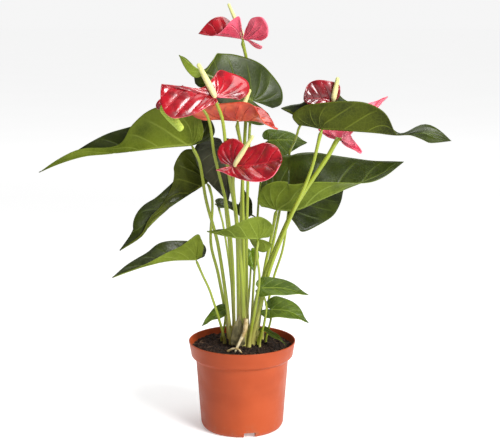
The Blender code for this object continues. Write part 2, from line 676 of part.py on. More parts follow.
def pot_object(finish):
    pot = new_object("pot", turned(pot_profile(), POT_SIDES), finish)
    for tool in (notch_cutter(), drain_cutter()):
        cut = pot.modifiers.new(tool.name, "BOOLEAN")
        cut.operation = "DIFFERENCE"
        cut.object = tool
    return pot


def soil_object(finish):
    """Compost filling the pot to below the rim, higher in the middle."""
    floor = RECESS + WALL + CLEARANCE
    band_foot = POT_HEIGHT - RIM_BAND
    step_foot = band_foot - RIM_STEP_HEIGHT
    inner = WALL + 2 * CLEARANCE
    rise = WALL + 2 * CLEARANCE
    edge_share = (SOIL_EDGE - band_foot) / RIM_BAND
    edge_radius = RIM_RADIUS - RIM_TAPER * (1 - edge_share) - inner
    profile = (
        (0, floor),
        (wall_radius(floor) - inner, floor),
        (body_top_radius() - inner, step_foot + rise),
        (RIM_RADIUS - RIM_TAPER - inner, band_foot + rise),
        (edge_radius, SOIL_EDGE),
        ((edge_radius + CROWN_RADIUS) / 2, SOIL_EDGE + 0.55 * SOIL_MOUND),
        (CROWN_RADIUS, SOIL_TOP),
        (0, SOIL_TOP),
    )
    return new_object("soil", turned(profile, POT_SIDES), finish)


# ---------------------------------------------------------------- finishes

def finish(name, colour, roughness):
    material = bpy.data.materials.new(name)
    material.use_nodes = True
    shader = material.node_tree.nodes["Principled BSDF"]
    shader.inputs["Base Color"].default_value = (*colour, 1.0)
    shader.inputs["Roughness"].default_value = roughness
    shader.inputs["Metallic"].default_value = 0.0
    return material


FINISHES = {
    "pot": ((0.62, 0.13, 0.05), 0.45),
    "soil": ((0.03, 0.015, 0.01), 0.95),
    "leaf": ((0.07, 0.13, 0.02), 0.4),
    "stem": ((0.32, 0.42, 0.08), 0.45),
    "spathe": ((0.55, 0.01, 0.03), 0.25),
    "orange_spathe": ((0.6, 0.08, 0.03), 0.3),
    "spadix": ((0.7, 0.68, 0.3), 0.55),
    "green_spadix": ((0.42, 0.55, 0.06), 0.6),
    "sheath": ((0.14, 0.13, 0.05), 0.7),
}


def build():
    for old in list(bpy.data.objects):
        bpy.data.objects.remove(old)
    finishes = {name: finish(name, *values) for name, values in FINISHES.items()}
    pot_object(finishes["pot"])
    soil_object(finishes["soil"])
    for name, leaf in LEAVES.items():
        big = leaf["half_width"][0] > 20
        rows, columns = (14, 3) if big else (10, 2)
        blade_object(name, leaf, LEAF_OUTLINE, LEAF_THICKNESS, rows, columns, finishes["leaf"])
        petiole = name.replace("leaf", "petiole")
        stem_object(petiole, PETIOLES[name], leaf, LEAF_THICKNESS, finishes["stem"])
    for name, flower in FLOWERS.items():
        red = finishes["orange_spathe" if name == "orange" else "spathe"]
        blade_object(name + "_spathe", flower, SPATHE_OUTLINE, SPATHE_THICKNESS, 12, 3, red)
        stem_object(name + "_flower_stalk", STALKS[name], flower, SPATHE_THICKNESS, finishes["stem"])
        pale = finishes["green_spadix" if name == "old" else "spadix"]
        spadix_object(name + "_spadix", flower, pale)
    blade_object("crown_sheath", SHEATH, LEAF_OUTLINE, LEAF_THICKNESS, 6, 2, finishes["sheath"])


build()
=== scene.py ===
"""Visual model of a potted anthurium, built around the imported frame.

+Z is up and the front is towards -Y. The tables below are in millimetres; meshes are in metres.
"""

import math
import random
from bisect import bisect_right

import bmesh
import bpy
from mathutils import Matrix, Vector, noise


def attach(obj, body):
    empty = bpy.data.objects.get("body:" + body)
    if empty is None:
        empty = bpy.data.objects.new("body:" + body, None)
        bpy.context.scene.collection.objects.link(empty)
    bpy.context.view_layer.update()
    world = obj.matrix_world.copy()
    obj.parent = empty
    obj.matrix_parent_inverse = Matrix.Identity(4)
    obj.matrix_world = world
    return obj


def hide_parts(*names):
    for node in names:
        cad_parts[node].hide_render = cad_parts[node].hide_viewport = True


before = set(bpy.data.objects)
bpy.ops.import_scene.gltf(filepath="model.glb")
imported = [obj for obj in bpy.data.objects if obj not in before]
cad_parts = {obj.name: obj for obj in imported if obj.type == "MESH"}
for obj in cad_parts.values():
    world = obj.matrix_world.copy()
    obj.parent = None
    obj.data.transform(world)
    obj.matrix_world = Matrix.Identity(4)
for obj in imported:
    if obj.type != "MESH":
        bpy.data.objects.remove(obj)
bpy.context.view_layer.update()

MM = 0.001

# Pot
POT_HEIGHT = 100.0
RIM_RADIUS = 60.0
RIM_BAND = 17.0
RIM_TAPER = 3.0
RIM_STEP = 5.0
RIM_STEP_HEIGHT = 4.0
BASE_RADIUS = 46.5
BASE_CHAMFER = 3.0
WALL = 1.6
POT_SIDES = 160
FOOT_WIDTH = 4.0
RECESS = 6.5
NOTCH_WIDTH = 13.0
NOTCH_HEIGHT = 6.0
NOTCH_COUNT = 3
NOTCH_TURN = math.radians(-79)
DRAIN_RADIUS = 4.0
DRAIN_COUNT = 6
DRAIN_CIRCLE = 25.0

# Soil
SOIL_EDGE = 92.0
SOIL_TOP = 97.0
CROWN_RADIUS = 33.0
SOIL_RADIUS = 57.0
SOIL_GAP = 0.6
SOIL_RINGS = 72
SOIL_SIDES = 200
CLOD_SINK = 0.8
CLOD_SHARE = 0.85
CRUMBS = 1300
CRUMB_SEED = 11
FIBRES = 90
FIBRE_SEED = 5
FIBRE_POINTS = 7
ROOT_RINGS = 24

# Plant
LEAF_THICKNESS = 0.6
SPATHE_THICKNESS = 0.8
VEINS = 9
VEIN_SLANT = 1.2
LEAF_SWELL = 0.5
SPATHE_SWELL = 0.9
MIDRIB_GROOVE = 0.35
WAVES = 3.0
WAVE_HEIGHT = 1.2
WAVE_OFFSET = 0.7
STEM_RINGS = 48
STEM_SIDES = 16
STEM_BURIED = 7.0
KNEE_RISE = 12.0
JOINT_LENGTH = 9.0
FLORET = 1.25
FLORET_DEPTH = 0.22
PLANT_LIFT = Vector((0.0, 0.0, 3.0))

# Rows along a blade and columns over half of its width
SMALL_LEAF = 20.0
LEAF_GRID = (72, 16)
SMALL_LEAF_GRID = (40, 9)
SPATHE_GRID = (64, 16)
SHEATH_GRID = (24, 8)
SHEATH_THICKNESS = 0.5

# Studio, in metres
CAMERA_PLACE = (0.0089, -1.303, 0.482)
CAMERA_DROP = math.radians(10.63)
CAMERA_LENS = 86.36
CAMERA_SENSOR = 36.0
LIGHT_TARGET = (0.0, 0.0, 0.25)
LIGHTS = {
    "key_light": dict(place=(1.1, -1.2, 1.1), size=0.9, energy=48.0),
    "top_light": dict(place=(0.1, 0.1, 1.6), size=1.2, energy=16.0),
}
WORLD_LEVEL = 0.22
WORLD_LEVEL_SEEN = 0.92
FLOOR_SIZE = 12.0
FLOOR_SHIFT = 4.0
FLOOR_GLOW_REACH = (0.5, 2.6)
FLOOR_GLOW = (0.34, 0.72)

# Half outline of a blade, from beside the sinus round the lobe to the tip: share of the lobe
# (negative) or of the length (positive), and share of the half width.
LEAF_OUTLINE = (
    (-0.80, 0.12), (-1.0, 0.36), (-0.74, 0.74), (-0.10, 0.97), (0.16, 1.0),
    (0.40, 0.87), (0.64, 0.58), (0.84, 0.26), (1.0, 0.0),
)
SPATHE_OUTLINE = (
    (-0.75, 0.14), (-1.0, 0.42), (-0.72, 0.84), (0.0, 1.0), (0.26, 1.0),
    (0.52, 0.86), (0.74, 0.58), (0.90, 0.25), (1.0, 0.0),
)
BLUNT_OUTLINE = (
    (-0.75, 0.14), (-1.0, 0.42), (-0.72, 0.84), (0.0, 1.0), (0.30, 1.0),
    (0.60, 0.97), (0.84, 0.75), (0.97, 0.35), (1.0, 0.0),
)
HIGH_BACK_TIP = (
    (-0.80, 0.12), (-1.0, 0.36), (-0.74, 0.74), (-0.10, 0.97), (0.16, 1.0),
    (0.40, 0.87), (0.62, 0.64), (0.84, 0.46), (1.0, 0.0),
)
LARGE_LOWER = (
    (-0.80, 0.10), (-1.0, 0.16), (-0.70, 0.20), (-0.10, 0.26), (0.12, 0.40), (0.28, 0.64),
    (0.48, 0.86), (0.68, 0.98), (0.86, 0.80), (0.97, 0.38), (1.0, 0.0),
)
LARGE_UPPER = (
    (-0.75, 0.12), (-1.0, 0.42), (-0.92, 0.84), (-0.50, 1.0), (-0.06, 0.86),
    (0.10, 0.50), (0.28, 0.18), (0.65, 0.10), (1.0, 0.0),
)
TOP_NEAR = (
    (-0.70, 0.06), (-0.93, 0.30), (-1.0, 0.82), (-0.88, 1.20), (-0.62, 1.20), (-0.34, 1.0),
    (-0.13, 0.56), (0.0, 0.06), (0.12, 0.95), (0.26, 0.80), (0.44, 0.32), (0.66, 0.13), (1.0, 0.0),
)
TOP_FAR = (
    (-0.70, 0.12), (-1.0, 0.30), (-0.80, 0.55), (-0.34, 0.50), (0.02, 0.34),
    (0.25, 0.38), (0.45, 0.66), (0.62, 0.76), (0.82, 0.50), (1.0, 0.0),
)
FRONT_UPPER = (
    (-0.75, 0.14), (-1.0, 0.50), (-0.85, 0.85), (-0.35, 1.0), (0.05, 0.92),
    (0.22, 0.68), (0.46, 0.70), (0.72, 0.70), (0.93, 0.46), (1.0, 0.0),
)
FRONT_LOWER = (
    (-0.80, 0.20), (-1.0, 0.36), (-0.50, 0.46), (0.0, 0.58), (0.25, 0.86),
    (0.55, 1.0), (0.82, 0.84), (0.96, 0.42), (1.0, 0.0),
)

HIGH_LEFT_NEAR = (
    (-0.80, 0.12), (-1.0, 0.36), (-0.74, 0.74), (-0.05, 0.97), (0.19, 0.97),
    (0.34, 0.64), (0.46, 0.18), (0.72, 0.19), (1.0, 0.0),
)
HIGH_LEFT_FAR = (
    (-0.80, 0.12), (-1.0, 0.36), (-0.74, 0.74), (-0.05, 0.92), (0.19, 0.88),
    (0.36, 0.74), (0.54, 0.64), (0.72, 0.28), (1.0, 0.0),
)
MIDDLE_LEFT_NEAR = (
    (-0.80, 0.12), (-1.0, 0.36), (-0.74, 0.74), (-0.10, 0.95), (0.08, 0.92),
    (0.20, 0.72), (0.34, 0.26), (0.60, 0.14), (1.0, 0.0),
)
MIDDLE_LEFT_FAR = (
    (-0.80, 0.12), (-1.0, 0.36), (-0.74, 0.70), (0.0, 0.80), (0.22, 0.55),
    (0.36, 0.43), (0.58, 0.48), (0.78, 0.30), (1.0, 0.0),
)
LOW_LEFT_NEAR = (
    (-0.80, 0.12), (-1.0, 0.5), (-0.50, 0.85), (-0.05, 1.0), (0.10, 0.80),
    (0.22, 0.52), (0.38, 0.28), (0.60, 0.12), (1.0, 0.0),
)
LOW_LEFT_FAR = (
    (-0.80, 0.12), (-1.0, 0.36), (-0.74, 0.60), (-0.10, 0.70), (0.16, 0.72),
    (0.38, 0.72), (0.55, 0.48), (0.82, 0.25), (1.0, 0.0),
)
HIGH_RIGHT_NEAR = (
    (-0.80, 0.12), (-1.0, 0.42), (-0.60, 0.75), (-0.10, 0.88), (0.14, 0.97), (0.30, 0.94),
    (0.43, 0.70), (0.54, 0.10), (0.62, 0.05), (0.80, 0.30), (1.0, 0.0),
)
HIGH_RIGHT_FAR = (
    (-0.68, 0.40), (-1.0, 0.42), (-0.78, 0.52), (-0.50, 0.60), (-0.30, 0.85), (0.04, 0.98),
    (0.15, 0.72), (0.30, 0.60), (0.45, 0.40), (0.58, 0.05), (0.80, 0.22), (1.0, 0.0),
)

# Each leaf: the midrib from the petiole to the tip, the way its upper side faces at some shares
# of the length, the left and right half widths, the lobes' lengths behind the petiole, and how
# far each half is folded up, in degrees, at the lobe, the middle and the tip. Left and right are
# as seen looking along the leaf from the petiole, upper side up. Where a half thins early, taper
# is the share of its width that it has lost past the middle. Curl is how much further up the
# margin turns than the midrib, in degrees. Lobe rise is how steeply the lobes climb behind the
# petiole, and taper_end is the share of the length where the taper is complete. A blade whose
# halves differ in shape has an outline of its own for each, left and then right.
LEAVES = {
    "high_left_leaf": dict(
        midrib=((-54, -12, 318), (-88, -10, 315), (-118, -6, 311), (-149, 0, 307), (-173, 5, 304),
                (-201, 13, 295), (-226, 20, 284)),
        up=((0.0, (0, 0.1, 1)), (1.0, (0, 0.2, 1))),
        half_width=(46, 42), lobe=(14, 26), left=(82, 80, 60), right=(66, 66, 40),
        curl=(-20, -20), outlines=(HIGH_LEFT_NEAR, HIGH_LEFT_FAR),
    ),
    "high_back_leaf": dict(
        midrib=((11, 22, 364), (-20, 8, 384), (-48, -1, 400), (-67, -8, 415)),
        up=((0.0, (0.43, -0.89, 0.19)), (0.55, (0.43, -0.89, 0.19)), (0.8, (-0.75, 0.1, -0.6)),
            (1.0, (-0.8, 0.3, -0.6))),
        half_width=(26, 40), lobe=(30, 34), left=(0, 10, 10), right=(5, 5, 10),
        outlines=(HIGH_BACK_TIP, HIGH_BACK_TIP),
    ),
    "middle_left_leaf": dict(
        midrib=((-39, 12, 273), (-60, 8, 260), (-74, 2, 253), (-86, -6, 243), (-99, -13, 234),
                (-109, -20, 220), (-133, -26, 205)),
        up=((0.0, (-0.4, 0.2, 1)), (1.0, (-0.5, -0.3, 1))),
        half_width=(46, 42), lobe=(18, 20), left=(84, 80, 40), right=(72, 70, 40),
        curl=(-20, -20), outlines=(MIDDLE_LEFT_NEAR, MIDDLE_LEFT_FAR),
    ),
    "low_left_leaf": dict(
        midrib=(
            (-50, -20, 193), (-76, -28, 194), (-100, -36, 191), (-120, -42, 186), (-139, -48, 180),
        ),
        up=((0.0, (0, 0.1, 1)), (1.0, (0, -0.1, 1))),
        half_width=(29, 30), lobe=(8, 12), left=(84, 76, 30), right=(70, 68, 30),
        curl=(-10, -10), outlines=(LOW_LEFT_NEAR, LOW_LEFT_FAR),
    ),
    "centre_left_leaf": dict(
        midrib=((-19, 2, 316), (-17, -4, 285), (-15, -12, 256)),
        up=((0.0, (-0.3, -0.9, 0.3)), (1.0, (-0.2, -1, 0.2))),
        half_width=(13, 33), lobe=(8, 10), left=(20, 25, 20), right=(25, 15, 10),
    ),
    "round_back_leaf": dict(
        midrib=((3, 40, 235), (4, 41, 247), (2, 43, 261)),
        up=((0.0, (0, -1, 0.2)), (1.0, (0, -1, 0.2))),
        half_width=(9, 9), lobe=(5, 5), left=(10, 20, 20), right=(10, 20, 20),
    ),
    "slim_middle_leaf": dict(
        midrib=((-26, 46, 243), (-7, 50, 237), (16, 53, 227)),
        up=((0.0, (0, -0.6, 1)), (1.0, (0, -0.6, 1))),
        half_width=(8, 8), lobe=(6, 6), left=(30, 30, 20), right=(20, 20, 20),
    ),
    "front_leaf": dict(
        midrib=((17, -62, 225), (-7, -70, 228), (-36, -76, 236)),
        up=((0.0, (0, 0.1, 1)), (1.0, (0, 0.0, 1))),
        half_width=(25, 22), lobe=(16, 18), left=(76, 70, 30), right=(-62, 40, 20),
    ),
    "high_right_leaf": dict(
        midrib=((86, -24, 337), (110, -28, 336), (142, -30, 334), (168, -27, 331), (198, -18, 332),
                (227, -10, 323)),
        up=((0.0, (0, 0.1, 1)), (0.5, (0, 0.1, 1)), (0.72, (0, -1, 0.5)), (1.0, (0, -1, 0.3))),
        half_width=(47, 35), lobe=(46, 32), left=(80, 78, 0), right=(62, 68, 0),
        outlines=(HIGH_RIGHT_FAR, HIGH_RIGHT_NEAR),
    ),
    "middle_right_leaf": dict(
        midrib=((39, 16, 242), (60, 13, 242), (87, 12, 254), (115, 14, 266), (148, 18, 279),
                (180, 20, 296)),
        up=((0.0, (-0.1, 0.1, 1)), (0.5, (-0.2, 0.0, 1)), (1.0, (-0.3, -0.8, 0.8))),
        half_width=(63, 36), lobe=(20, 22), left=(80, 76, 20), right=(74, 68, -10), taper=(0, 0.4),
    ),
    "back_right_leaf": dict(
        midrib=((54, 26, 242), (88, 50, 250), (120, 93, 256)),
        up=((0.0, (0.1, -0.9, 0.5)), (1.0, (0.1, -0.9, 0.5))),
        half_width=(12, 32), lobe=(4, 6), left=(0, 0, 0), right=(0, 10, 0),
    ),
    "bright_back_leaf": dict(
        midrib=((30, 46, 317), (52, 51, 317), (74, 55, 313)),
        up=((0.0, (0, -0.9, 0.5)), (1.0, (0, -0.9, 0.5))),
        half_width=(13, 22), lobe=(7, 6), left=(0, 0, 0), right=(0, -10, 0),
    ),
    "small_right_leaf": dict(
        midrib=((22, -26, 163), (46, -28, 163), (73, -30, 156)),
        up=((0.0, (0, -0.75, 0.8)), (1.0, (0, -0.7, 0.9))),
        half_width=(13, 12), lobe=(7, 7), left=(10, 10, 10), right=(0, 10, 10),
    ),
    "low_right_leaf": dict(
        midrib=((33, -4, 133), (53, -10, 132), (74, -14, 120)),
        up=((0.0, (0.2, -0.7, 0.9)), (1.0, (0.3, -0.5, 1))),
        half_width=(17, 15), lobe=(9, 12), left=(10, 10, 10), right=(10, 10, 10),
    ),
    "low_left_small_leaf": dict(
        midrib=((-19, 5, 131), (-31, 1, 125), (-45, -5, 114)),
        up=((0.0, (0, -0.7, 0.9)), (1.0, (-0.3, -0.6, 0.9))),
        half_width=(9, 8), lobe=(3, 3), left=(10, 10, 10), right=(10, 10, 10),
    ),
    "soil_leaf": dict(
        midrib=((22, -10, 112), (35, -20, 108), (49, -29, 99)),
        up=((0.0, (0.2, -0.3, 1)), (1.0, (0.3, -0.3, 1))),
        half_width=(5.5, 5.5), lobe=(2, 2), left=(10, 10, 10), right=(10, 10, 10),
    ),
    "inner_leaf": dict(
        midrib=((10, 47, 188), (12, 44, 176), (14, 42, 165)),
        up=((0.0, (0, -1, 0.3)), (1.0, (0, -1, 0.3))),
        half_width=(9, 9), lobe=(4, 4), left=(15, 15, 10), right=(15, 15, 10),
    ),
}

# Each flower: its spathe, described as a leaf is, and its spadix, which stands on the stalk's end.
# Floret is the width of the spadix's florets, and floret_depth how deep the furrows between them
# are, as a share of that.
FLOWERS = {
    "top": dict(
        midrib=((1, 20, 431), (-22, 34, 434), (-48, 46, 436)),
        up=((0.0, (0, 0.8, 0.6)), (0.5, (0, 0.1, 1)), (1.0, (0, -0.3, 1))),
        half_width=(24, 30), lobe=(34, 20), left=(18, 55, -40), right=(15, 66, 62),
        lobe_rise=(0, 0), outlines=(TOP_NEAR, TOP_FAR),
        spadix_tip=(-15, 42, 469), spadix_radius=2.4,
    ),
    "large": dict(
        midrib=((-28, -54, 374), (-53, -60, 380), (-82, -64, 388)),
        up=((0.0, (0.1, -0.85, 0.5)), (1.0, (0.1, -0.85, 0.5))),
        half_width=(33, 36), lobe=(3, 37), left=(20, 0, -10), right=(-10, 20, 20),
        outlines=(LARGE_LOWER, LARGE_UPPER),
        spadix_tip=(-45, -56, 409), spadix_radius=3.2,
    ),
    "orange": dict(
        midrib=((-4, -34, 347), (15, -42, 348), (38, -50, 340)),
        up=((0.0, (0, 0.1, 1)), (1.0, (0, 0, 1))),
        half_width=(22, 24), lobe=(36, 50), left=(50, 45, 20), right=(58, 56, 20), curl=(50, 50),
        spadix_tip=(9, -24, 380), spadix_radius=2.8,
    ),
    "front": dict(
        midrib=((-7, -65, 303), (17, -73.5, 306), (42, -80.5, 313)),
        up=((0.0, (0, -0.75, 0.66)), (1.0, (0, -0.75, 0.66))),
        half_width=(31, 23), lobe=(20, 17), left=(15, 15, 10), right=(10, 5, 10),
        lobe_rise=(0, 0.3), outlines=(FRONT_UPPER, FRONT_LOWER),
        spadix_tip=(12, -80, 337), spadix_radius=2.6,
    ),
    "right": dict(
        midrib=((97, -24, 367), (83, -25.5, 370), (66, -26.5, 370)),
        up=((0.0, (0.1, -0.9, 0.4)), (1.0, (0.1, -0.9, 0.4))),
        half_width=(9, 20), lobe=(4, 6), left=(5, 5, 0), right=(20, 20, 20),
        outlines=(BLUNT_OUTLINE, BLUNT_OUTLINE),
        spadix_tip=(102, -27, 393), spadix_radius=2.8,
    ),
    "under_leaf": dict(
        midrib=((108, 2, 323), (134, 14, 346), (161, 26, 368)),
        up=((0.0, (0.43, 0.62, -0.70)), (1.0, (0.43, 0.62, -0.70))),
        half_width=(34, 38), lobe=(3, 4), left=(5, 0, 0), right=(5, 5, 0),
        taper=(0.88, 0.5), taper_end=0.16,
        spadix_tip=(128, 30, 343), spadix_radius=2.6,
    ),
    "old": dict(
        midrib=((-83, -34, 361), (-72, -30, 372), (-62, -28, 384)),
        up=((0.0, (-0.5, -0.8, -0.1)), (1.0, (-0.5, -0.8, -0.1))),
        half_width=(9, 9), lobe=(5, 5), left=(0, 0, 0), right=(0, 0, 0),
        spadix_tip=(-62, -50, 339), spadix_radius=5.2, floret=2.2, floret_depth=0.4,
    ),
}

# Each stem: the radius at its foot and under the blade, the points it passes from the blade
# down, and where its foot stands on the crown.
PETIOLES = {
    "high_left_leaf": dict(
        radii=(2.1, 1.6), foot=(-12, -8),
        via=((-46, -11, 300), (-39, -9, 257), (-26, -7, 205)),
    ),
    "high_back_leaf": dict(
        radii=(2.0, 1.5), foot=(6, 22),
        via=((8, 22, 321), (6, 22, 254), (5, 22, 185)),
    ),
    "middle_left_leaf": dict(
        radii=(2.0, 1.4), foot=(-15, 16),
        via=((-33, 13, 252), (-35, 14, 205), (-27, 16, 169)),
    ),
    "low_left_leaf": dict(radii=(1.5, 1.2), via=((-44, -17, 177), (-35, -13, 155)), foot=(-20, -3)),
    "centre_left_leaf": dict(radii=(1.6, 1.3), via=((-20, 6, 270), (-14, 9, 200)), foot=(-9, 10)),
    "round_back_leaf": dict(radii=(1.4, 1.1), via=((4, 39, 220), (3, 34, 160)), foot=(0, 28)),
    "slim_middle_leaf": dict(radii=(1.4, 1.1), via=((-22, 41, 222), (-14, 32, 170)), foot=(-8, 24)),
    "front_leaf": dict(
        radii=(1.8, 1.1), foot=(8, -19),
        via=((16, -67, 213), (19, -54, 180), (14, -34, 140)),
    ),
    "high_right_leaf": dict(
        radii=(2.3, 1.8), foot=(12, -9),
        via=((74, -20, 290), (48, -17, 228), (28, -14, 172)),
    ),
    "middle_right_leaf": dict(radii=(2.2, 1.7), via=((33, 16, 212), (25, 14, 172)), foot=(16, 8)),
    "back_right_leaf": dict(radii=(1.5, 1.2), via=((46, 24, 196), (35, 22, 160)), foot=(23, 14)),
    "bright_back_leaf": dict(radii=(1.5, 1.2), via=((20, 42, 262), (16, 37, 200)), foot=(10, 28)),
    "small_right_leaf": dict(radii=(1.3, 1.0), via=((27, -24, 140),), foot=(20, -17)),
    "low_right_leaf": dict(radii=(1.4, 1.1), via=((32, -4, 120),), foot=(27, -2)),
    "low_left_small_leaf": dict(radii=(1.4, 1.2), via=((-20, 5, 112),), foot=(-23, 5)),
    "soil_leaf": dict(radii=(1.4, 1.1), via=((20, -9, 104),), foot=(18, -8)),
    "inner_leaf": dict(radii=(1.4, 1.1), via=((10, 51, 172), (8, 42, 140)), foot=(4, 30)),
}
STALKS = {
    "top": dict(
        radii=(2.2, 1.8), foot=(-2, 20),
        via=((5, 30, 408), (6, 37, 378), (3, 36, 320), (-1, 30, 230)),
    ),
    "large": dict(
        radii=(2.3, 1.7), foot=(-4, -9),
        via=((-20, -48, 350), (-15, -41, 300), (-6, -29, 240), (-4, -18, 165)),
    ),
    "orange": dict(
        radii=(2.1, 1.8), foot=(3, -2),
        via=((0, -30, 315), (1, -20, 248), (2, -10, 180)),
    ),
    "front": dict(
        radii=(2.2, 1.8), foot=(2, -16),
        via=((-9, -60, 284), (-4, -38, 228), (1, -26, 160)),
    ),
    "right": dict(
        radii=(1.7, 1.3), foot=(17, 17),
        via=(
            (90, -24.8, 357), (80, -24.3, 350), (72, -22.6, 346.5), (66, -19.8, 344),
            (62, -12, 338), (60, 0, 328), (58, 20, 318), (53, 38, 302), (42, 36, 235),
            (28, 25, 165),
        ),
    ),
    "under_leaf": dict(
        radii=(2.7, 2.4), foot=(10, 1),
        via=((94, -2, 305), (60, -8, 253), (34, -6, 195), (18, -1, 150)),
    ),
    "old": dict(
        radii=(1.8, 1.5), foot=(-9, -2),
        via=((-62, -40, 366), (-38, -40, 357), (-29, -32, 310), (-16, -20, 250), (-10, -9, 180)),
    ),
}

SHEATH = dict(
    midrib=((-4.5, -21.8, 97), (-4.5, -22.5, 112), (-3, -23, 132)),
    up=((0.0, (0, -1, 0)), (1.0, (0, -1, 0))),
    half_width=(8, 8), lobe=(1, 1), left=(-8, -8, -8), right=(-8, -8, -8),
)


# ---------------------------------------------------------------- curves and pieces

def marks_along(points):
    """Share of the whole length at each point."""
    lengths = [0.0]
    for start, end in zip(points, points[1:]):
        lengths.append(lengths[-1] + (end - start).length)
    return [length / lengths[-1] for length in lengths]


def slope_at(points, marks, i):
    """Direction of the smooth curve at point i, per whole length."""
    if i == 0:
        return (points[1] - points[0]) / (marks[1] - marks[0])
    if i == len(points) - 1:
        return (points[-1] - points[-2]) / (marks[-1] - marks[-2])
    return (points[i + 1] - points[i - 1]) / (marks[i + 1] - marks[i - 1])


def hermite(start, slope_in, end, slope_out, t):
    """Point of a cubic curve between two points with a slope at each."""
    return (
        start * (2 * t**3 - 3 * t**2 + 1)
        + slope_in * (t**3 - 2 * t**2 + t)
        + end * (3 * t**2 - 2 * t**3)
        + slope_out * (t**3 - t**2)
    )


def smooth_point(points, share):
    """Point of the smooth curve through the points; below 0 it runs on straight."""
    marks = marks_along(points)
    if share < 0.0:
        return points[0] + slope_at(points, marks, 0) * share
    i = min(bisect_right(marks, share) - 1, len(points) - 2)
    step = marks[i + 1] - marks[i]
    return hermite(
        points[i], slope_at(points, marks, i) * step,
        points[i + 1], slope_at(points, marks, i + 1) * step, (share - marks[i]) / step,
    )


def direction(points, share):
    """Direction of the smooth curve near a share of its length."""
    step = 0.02
    low = max(share, 0.0) - (step if share > 0.5 else 0.0)
    return (smooth_point(points, low + step) - smooth_point(points, low)).normalized()


def placed(points):
    """Points of a table, lifted to the height of the soil."""
    return [Vector(point) + PLANT_LIFT for point in points]


def length_of(points):
    return sum((end - start).length for start, end in zip(points, points[1:]))


def ease(share):
    """Goes gently from 0 to 1 while the share does, and stays there beyond them."""
    share = min(max(share, 0.0), 1.0)
    return share * share * (3 - 2 * share)


def new_piece(name, mesh, finishes):
    """A smooth object at the origin made of the mesh, with its finishes in order."""
    data = bpy.data.meshes.new(name)
    mesh.to_mesh(data)
    mesh.free()
    for finish in finishes:
        data.materials.append(finish)
    data.shade_smooth()
    piece = bpy.data.objects.new(name, data)
    bpy.context.scene.collection.objects.link(piece)
    return piece


# ---------------------------------------------------------------- blades

def facing(blade, share):
    """The way the blade's upper side faces at this share of its length."""
    stations = blade["up"]
    share = min(max(share, 0.0), 1.0)
    for (low, before), (high, after) in zip(stations, stations[1:]):
        if share <= high:
            part = ease((share - low) / (high - low))
            return Vector(before).lerp(Vector(after), part)
    return Vector(stations[-1][1])


def frame_at(blade, points, share):
    """Along, right and up directions of the blade at a share of its length."""
    along = direction(points, share)
    up = facing(blade, share)
    up = (up - along * up.dot(along)).normalized()
    return along, along.cross(up), up


def fold_at(folds, share):
    """Fold angle of one half, in radians: lobe, middle and tip, eased between."""
    lobe, middle, tip = folds
    if share < 0.3:
        angle = lobe + (middle - lobe) * ease((share + 0.3) / 0.6)
    else:
        angle = middle + (tip - middle) * ease((share - 0.3) / 0.6)
    return math.radians(angle)


def bent_section(width, half_width, fold, curl):
    """Sideways reach, upward reach and slope of a half that bends steadily from its fold."""
    if curl == 0:
        return width * math.cos(fold), width * math.sin(fold), fold
    bend = math.radians(curl) / half_width
    start = fold - math.radians(curl) / 2
    end = start + bend * width
    sideways = (math.sin(end) - math.sin(start)) / bend
    return sideways, (math.cos(start) - math.cos(end)) / bend, end


def margin_point(outline, blade_length, lobe, half_width, share):
    """Flat margin point, along and across, at a share of the way round the half outline."""
    flat = []
    for along, across in outline:
        reach = along * (lobe if along < 0 else blade_length)
        flat.append(Vector((reach, across * half_width, 0)))
    place = share * (len(flat) - 1)
    i = min(int(place), len(flat) - 2)
    before = flat[max(i - 1, 0)]
    after = flat[min(i + 2, len(flat) - 1)]
    start, end = flat[i], flat[i + 1]
    return hermite(start, (end - before) / 2, end, (after - start) / 2, place - i)


def relief_at(blade, around, across):
    """Height above the plain blade: swells between the veins, a midrib groove and a wavy margin."""
    reach = abs(across)
    swell = abs(math.sin(math.pi * (VEINS * around - VEIN_SLANT * reach)))
    swell *= ease(reach / 0.3) * ease((1.0 - reach) / 0.25)
    groove = -ease(1.0 - reach / 0.08)
    side = WAVE_OFFSET if across > 0 else 0.0
    wave = WAVE_HEIGHT * reach**2 * math.sin(math.tau * (WAVES * around + side))
    wave *= ease((1.0 - around) / 0.2)
    return blade.get("swell", LEAF_SWELL) * swell + MIDRIB_GROOVE * groove + wave


def blade_point(blade, points, outline, around, across):
    """Point of the blade: around goes from the lobe to the tip, across from -1 left to 1 right."""
    length = length_of(points)
    side = 1 if across > 0 else 0
    half_width = blade["half_width"][side]
    outline = blade["outlines"][side] if "outlines" in blade else outline
    margin = margin_point(outline, length, blade["lobe"][side], half_width, around)
    vein_start = 0.08 * length
    foot = max(margin.x - vein_start, 0.0) / (length - vein_start) * length
    reach = foot + (margin.x - foot) * abs(across)
    share = reach / length
    taper_end = blade.get("taper_end", 0.6)
    taper = 1 - blade.get("taper", (0, 0))[side] * ease(share / taper_end)
    width = margin.y * abs(across) * taper
    _, right, up = frame_at(blade, points, share)
    fold = fold_at(blade["right" if side else "left"], share)
    outward = right if side else -right
    curl = blade.get("curl", (0, 0))[side]
    sideways, rise, slope = bent_section(width, half_width, fold, curl)
    face = up * math.cos(slope) - outward * math.sin(slope)
    rise += max(-reach, 0.0) * blade.get("lobe_rise", (0, 0))[side]
    place = smooth_point(points, share) + outward * sideways + up * rise
    return place + face * relief_at(blade, around, across)


